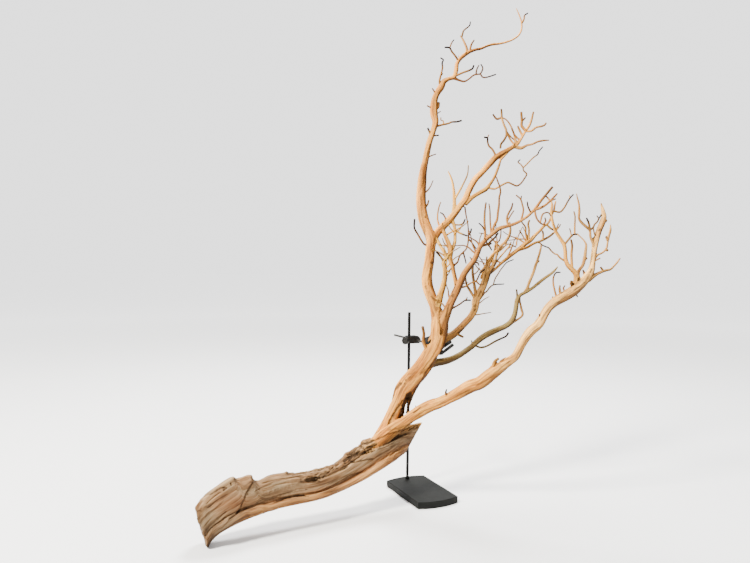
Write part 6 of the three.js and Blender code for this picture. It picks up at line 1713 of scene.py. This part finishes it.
def wood_material(name, streak_strength, crack_strength):
    """Weathered wood: streaks, bands and fibres along the grain, thin checks, worn edges with painted shade
    in the creases, and cracks darkened with painted shade and the wood's own dark.
    """
    nodes = Nodes(name, PEACH, 0.62, 0.1)
    grain = nodes.attribute("grain", "Vector")
    crack_and_crevice_shade = nodes.attribute("crack_and_crevice_shade", "Fac")
    place = nodes.place()
    fibre, streak, band, check = (
        nodes.noise(nodes.stretched(grain, (1, 1, share)), *noise) for share, *noise in GRAIN_NOISES.values()
    )
    blotch = nodes.noise(place, *BLOTCH_NOISE)
    pits = nodes.noise(place, *PIT_NOISE)
    colour = nodes.attribute("tint", "Color")
    for strength, value, stops in (
        (streak_strength, streak, STREAK_STOPS), (0.6, fibre, FIBRE_STOPS), (0.75, band, BAND_STOPS),
        (0.6, blotch, BLOTCH_STOPS),
    ):
        colour = nodes.blend(strength, colour, nodes.ramp(value, stops), "MULTIPLY")
    thin = nodes.ramp(check, [(0.455, 0.0), (0.5, 1.0), (0.545, 0.0)])
    cracked = nodes.ramp(band, [(0.42, crack_strength), (0.5, crack_strength * 0.3), (0.6, 0.0)])
    colour = nodes.blend(nodes.math("MULTIPLY", thin, cracked), colour, THIN_CRACK)
    # By how pointed the surface is: worn ridges lighter, and painted shade in the concave creases
    edges = nodes.add("ShaderNodeNewGeometry").outputs["Pointiness"]
    worn = nodes.ramp(edges, [(0.465, 0.0), (0.5, 0.5), (0.54, 1.0)])
    colour = nodes.blend(0.3, colour, nodes.ramp(worn, WEAR_AND_CREASE_SHADE_STOPS), "MULTIPLY")
    # Near-black painted shade in cracks, furrows and hollows, with the wood's own dark in knots and rot
    deep_dark_and_shade = nodes.math("MULTIPLY", crack_and_crevice_shade, nodes.scaled(streak, 0.5, 0.72), clamp=True)
    colour = nodes.blend(deep_dark_and_shade, colour, nodes.ramp(fibre, DEEP_DARK_AND_SHADE_STOPS))
    roughness = nodes.scaled(fibre, 0.34, 0.6)
    roughness = nodes.math("ADD", roughness, nodes.math("MULTIPLY", crack_and_crevice_shade, 0.15), clamp=True)
    normal = nodes.bump(streak, 0.0022, 0.6)
    normal = nodes.bump(fibre, 0.0009, 0.55, normal)
    normal = nodes.bump(pits, 0.0002, 0.4, normal)
    return nodes.finish(colour, roughness, normal)


def cast_material(name, tone, roughness, grit):
    """Painted casting: fine orange-peel grain, rubbed edges, a little dust."""
    nodes = Nodes(name, tone, roughness, 0.14)
    place = nodes.place()
    peel = nodes.noise(place, grit, 3, 0.5)
    cloud = nodes.noise(place, 22, 4, 0.6)
    base = screen_tone(tone)
    colour = nodes.shades(cloud, base, [(0.35, 0.75), (0.55, 1), (0.72, 1.35)])
    scuff = nodes.ramp(nodes.noise(place, 75, 4, 0.7), [(0.62, 0.0), (0.74, 0.35)])
    colour = nodes.blend(scuff, colour, tuple(base * 2.4 + 0.008))
    uneven = nodes.scaled(cloud, 0.26, roughness - 0.12, clamp=True)
    return nodes.finish(colour, uneven, nodes.bump(peel, 0.0002, 0.35))


def steel_material(name, tone, roughness, metal):
    """Turned or plated steel: fine turning lines round the part, small scratches, duller patches."""
    nodes = Nodes(name, tone, roughness, 0.08)
    nodes.set("Metallic", metal)
    place = nodes.place()
    lines = nodes.noise(nodes.stretched(place, (1, 1, 14)), 90, 2, 0.5)
    scratch = nodes.noise(nodes.stretched(place, (9, 1, 1)), 130, 3, 0.6)
    cloud = nodes.noise(place, 30, 4, 0.6)
    base = screen_tone(tone)
    colour = nodes.shades(cloud, base, [(0.32, 0.6), (0.52, 1), (0.72, 1.3)])
    rubbed = nodes.ramp(scratch, [(0.6, 0.0), (0.75, 0.5)])
    colour = nodes.blend(rubbed, colour, tuple(np.minimum(base * 2.0 + 0.01, 1)))
    uneven = nodes.scaled(scratch, 0.3, roughness - 0.14, clamp=True)
    return nodes.finish(colour, uneven, nodes.bump(lines, 0.0002, 0.4))


def rubber_material(name, tone):
    """Dusty black rubber."""
    nodes = Nodes(name, tone, 0.78, 0.18)
    nodes.set("Sheen Weight", 0.03)
    place = nodes.place()
    dust = nodes.noise(place, 60, 4, 0.6)
    grain = nodes.noise(place, 900, 2, 0.5)
    base = screen_tone(tone)
    dusty = tuple(base * 2.2 + 0.01)
    colour = nodes.ramp(dust, [(0.4, tuple(base * 0.8)), (0.6, tuple(base)), (0.78, dusty)])
    return nodes.finish(colour, nodes.scaled(dust, 0.2, 0.66), nodes.bump(grain, 0.0001, 0.5))


# The floor glows by how far away it is in metres, so that it ends in the backdrop
FLOOR_GLOW = {"From Min": 0.8, "From Max": 7.0, "To Min": 0.0, "To Max": 1.3}
FLOOR_WIDTH = 60


def floor_material():
    """Pale floor, brighter far away."""
    nodes = Nodes("pale_floor", (250, 250, 250), 0.75, 0.1)
    nodes.set("Base Color", (0.95, 0.95, 0.95, 1))
    nodes.set("Emission Color", (1, 1, 1, 1))
    away = nodes.add("ShaderNodeVectorMath", {0: nodes.place()}, operation="LENGTH").outputs["Value"]
    glow = nodes.add("ShaderNodeMapRange", {"Value": away, **FLOOR_GLOW}).outputs["Result"]
    nodes.tree.links.new(glow, nodes.shader.inputs["Emission Strength"])
    return nodes.material


# The wood as pieces one above the other, each with the height in metres where it ends
WOOD_PIECES = {"trunk_wood": 0.19, "stem_wood": 0.45, "fork_wood": 0.74, "crown_wood": 3.0}

# Points round a limb by its greatest radius in mm, the radius from which it shows strands, points round a
# twig, where the twigs' seeds start, and how often the skin is smoothed
LIMB_TURNS = ((14, 40), (8, 28), (0, 18))
STRAND_RADIUS = 5
TWIG_TURNS = 10
TWIG_SEED = 40
SMOOTHING_ROUNDS = 3

# The foot stands flat on the floor, and its lowest wood keeps still
FOOT_BELOW = 0.0006
FOOT_LEVEL = 0.0004
FOOT_STILL = 0.002
FOOT_FADE = 0.012


def level_foot(mesh):
    for vertex in mesh.vertices:
        if vertex.co.z < FOOT_BELOW:
            vertex.co.z = FOOT_LEVEL


def limb_pieces(rows):
    """The trunk and the limbs as one weathered skin, split by height."""
    limbs = Skin()
    add_trunk(limbs)
    for seed, name in enumerate(LIMBS):
        thickest = rows[name][:, 3].max()
        turns = next(turns for radius, turns in LIMB_TURNS if thickest > radius)
        add_limb(limbs, name, rows[name], RING_STEP, turns, seed, thickest > STRAND_RADIUS)
    skinned = remeshed(limbs.mesh("limbs_rough"), SKIN_STEP, "limbs_skin")
    relaxed(skinned, SMOOTHING_ROUNDS)
    level_foot(skinned)
    skinned = cut_out(skinned, jaw_cutter())
    wood = Wood(skinned, limbs)
    free = away_from_jaws(wood) * rise(wood.places[:, 2], FOOT_STILL, FOOT_FADE)
    for work in (weather, raise_flap, ragged_crest, press_marks):
        work(wood, free)
    write_marks(skinned, wood, tint(wood, limb_colours))
    material = wood_material("weathered_wood", 0.8, 0.75)
    heights = np.array([polygon.center[2] for polygon in skinned.polygons])
    lowest = -1.0
    for name, highest in WOOD_PIECES.items():
        chosen = (heights >= lowest) & (heights < highest)
        yield placed(name, split_piece(skinned, chosen, name, wood.normals), material)
        lowest = highest


def twig_piece(rows):
    """All twigs and spurs as one mesh of plain tubes."""
    twigs = Skin()
    for seed, name in enumerate(ALL_TWIGS):
        add_limb(twigs, name, rows[name], FINE_STEP, TWIG_TURNS, seed + TWIG_SEED, False)
    for seed, (host, root, tip) in enumerate(spur_paths(rows)):
        add_spur(twigs, host, root, tip, seed)
    mesh = twigs.mesh("twigs")
    wood = Wood(mesh, twigs)
    write_marks(mesh, wood, tint(wood, twig_colours))
    return placed("twigs", mesh, wood_material("twig_wood", 0.45, 0.0))


def build_wood():
    rows = limb_rows()
    for piece in (*limb_pieces(rows), twig_piece(rows)):
        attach(piece, "clamp")
        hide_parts("branch")


# The ribbed sleeves: their rings, ribs and points round, and radii at the waist and over it as shares of the
# greatest one
SLEEVE_RINGS = 90
SLEEVE_RIBS = 7
SLEEVE_TURNS = 28
SLEEVE_WAIST = 0.8
SLEEVE_BULGE = 0.2


def ribbed_sleeve(node, material):
    """A rubber sleeve with rings moulded round it, on the axis of the plain one."""
    corners = np.array([vertex.co[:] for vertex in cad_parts[node].data.vertices])
    middle = (corners.min(axis=0) + corners.max(axis=0)) / 2
    axis = np.linalg.svd(corners - corners.mean(axis=0))[2][0]
    along = (corners - middle) @ axis
    away = np.linalg.norm(corners - middle - along[:, None] * axis, axis=1)
    side = unit(np.cross(axis, [0, 0, 1]))
    span = np.linspace(0, 1, SLEEVE_RINGS)
    ribs = 0.5 + 0.5 * np.cos(span * SLEEVE_RIBS * 2 * np.pi)
    radius = away.max() * (SLEEVE_WAIST + SLEEVE_BULGE * np.clip(ribs * 1.6 - 0.3, 0, 1))
    radius *= np.clip(np.minimum(span, 1 - span) * 16 + 0.7, 0, 1)
    centres = middle + (along.min() + (along.max() - along.min()) * span)[:, None] * axis
    sides, others, alongs = (np.tile(way, (SLEEVE_RINGS, 1)) for way in (side, np.cross(axis, side), axis))
    rings = ring_points(centres, radius[:, None], ring_angles(SLEEVE_TURNS), sides, others)
    sleeve = Skin()
    sleeve.add(node, rings, centres, sides, others, alongs, span, radius)
    piece = placed(f"ribbed_{node}", sleeve.mesh(f"ribbed_{node}"), material)
    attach(piece, "jaw")
    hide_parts(node)


# The stand's finishes by node: material name, tone on screen, roughness, and how fine its grit is
CASTINGS = {
    "base_plate": ("plate_paint", (15, 16, 14), 0.72, 620),
    "boss_head": ("boss_paint", (24, 23, 22), 0.52, 700),
    "clamp_yoke": ("yoke_paint", (20, 18, 16), 0.55, 700),
}

# The same for steel, with its share of bare metal at the end
STEELS = {
    "rod": ("rod_black", (12, 12, 12), 0.6, 0.0),
    "rod_collar": ("collar_black", (13, 13, 13), 0.45, 0.2),
    "rod_screw": ("rod_screw_black", (38, 37, 35), 0.45, 0.5),
    "arm_screw": ("arm_screw_black", (40, 38, 36), 0.45, 0.5),
    "pivot_screw": ("pivot_black", (34, 32, 29), 0.45, 0.5),
    "clamp_arm": ("arm_steel", (52, 49, 45), 0.42, 0.6),
    "moving_jaw": ("jaw_steel", (62, 54, 42), 0.5, 0.5),
}
RUBBER = (14, 13, 12)
WORN_EDGE = ("worn_edge", (58, 57, 53), 0.4, 620)

# Widths in metres of the edges that are rubbed round, and the sharpest edge that is left alone
EDGE_WIDTHS = {"base_plate": 0.0012, "boss_head": 0.0012, "clamp_yoke": 0.0009, "moving_jaw": 0.0006}
EDGE_ANGLE = 35


def soften_edges(piece, width, worn):
    """Rounded edges that show the worn material."""
    bevel = piece.modifiers.new("soft_edges", "BEVEL")
    bevel.width = width
    bevel.segments = 2
    bevel.limit_method = "ANGLE"
    bevel.angle_limit = math.radians(EDGE_ANGLE)
    bevel.material = 1
    piece.data.materials.append(worn)


def dress_stand():
    """Paint, steel and rubber on the stand's own pieces."""
    finishes = {node: cast_material(*finish) for node, finish in CASTINGS.items()}
    finishes.update({node: steel_material(*finish) for node, finish in STEELS.items()})
    rubber = rubber_material("sleeve_rubber", RUBBER)
    ribbed_sleeve("upper_finger_sleeve", rubber)
    ribbed_sleeve("lower_finger_sleeve", rubber)
    worn = cast_material(*WORN_EDGE)
    for node, material in finishes.items():
        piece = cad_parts[node]
        piece.data.materials.clear()
        piece.data.materials.append(material)
        if node in EDGE_WIDTHS:
            soften_edges(piece, EDGE_WIDTHS[node], worn)


SENSOR_WIDTH = 36
FARTHEST_SEEN = 50


def add_camera():
    """The camera stands at the eye point and shows what the sketch sheet shows."""
    data = bpy.data.cameras.new("camera")
    data.sensor_width = SENSOR_WIDTH
    data.lens = SKETCH_REACH / SKETCH_WIDTH * SENSOR_WIDTH
    data.clip_end = FARTHEST_SEEN
    camera = in_scene("camera", data)
    turn = Matrix((RIGHT, UP, -AHEAD)).transposed().to_4x4()
    camera.matrix_world = Matrix.Translation(Vector(EYE)) @ turn
    bpy.context.scene.camera = camera


# Lights: place and target in metres, width in metres, power in watts, tone
LIGHTS = {
    "key": ((-3.0, -2.7, 4.4), (0, -0.1, 0.7), 1.1, 980, (1, 0.97, 0.9)),
    "top": ((0.1, 1.3, 3.3), (0, 0, 0.2), 1.2, 260, (1, 1, 1)),
}


def add_light(name, place, target, width, power, tone):
    data = bpy.data.lights.new(name, "AREA")
    data.shape = "DISK"
    data.size = width
    data.energy = power
    data.color = tone
    light = in_scene(name, data)
    light.location = place
    light.rotation_euler = (Vector(target) - Vector(place)).to_track_quat("-Z", "Y").to_euler()


def add_floor():
    bpy.ops.mesh.primitive_plane_add(size=FLOOR_WIDTH, location=(0, 0, 0))
    floor = bpy.context.active_object
    floor.name = "floor"
    floor.data.materials.append(floor_material())


# The world is bright straight behind the object and dimmer all round it
BACKDROP = {"From Min": 0.68, "From Max": 0.8, "To Min": 0.9, "To Max": 2.3}


def add_backdrop():
    world = bpy.data.worlds.new("studio")
    world.use_nodes = True
    sky = world.node_tree
    way = sky.nodes.new("ShaderNodeTexCoord")
    split = sky.nodes.new("ShaderNodeSeparateXYZ")
    brightness = sky.nodes.new("ShaderNodeMapRange")
    for name, value in BACKDROP.items():
        brightness.inputs[name].default_value = value
    sky.links.new(way.outputs["Generated"], split.inputs["Vector"])
    sky.links.new(split.outputs["Y"], brightness.inputs["Value"])
    sky.nodes["Background"].inputs["Color"].default_value = (1, 1, 1, 1)
    sky.links.new(brightness.outputs["Result"], sky.nodes["Background"].inputs["Strength"])
    bpy.context.scene.world = world


add_camera()
build_wood()
dress_stand()
add_floor()
add_backdrop()
for light_name, light_settings in LIGHTS.items():
    add_light(light_name, *light_settings)
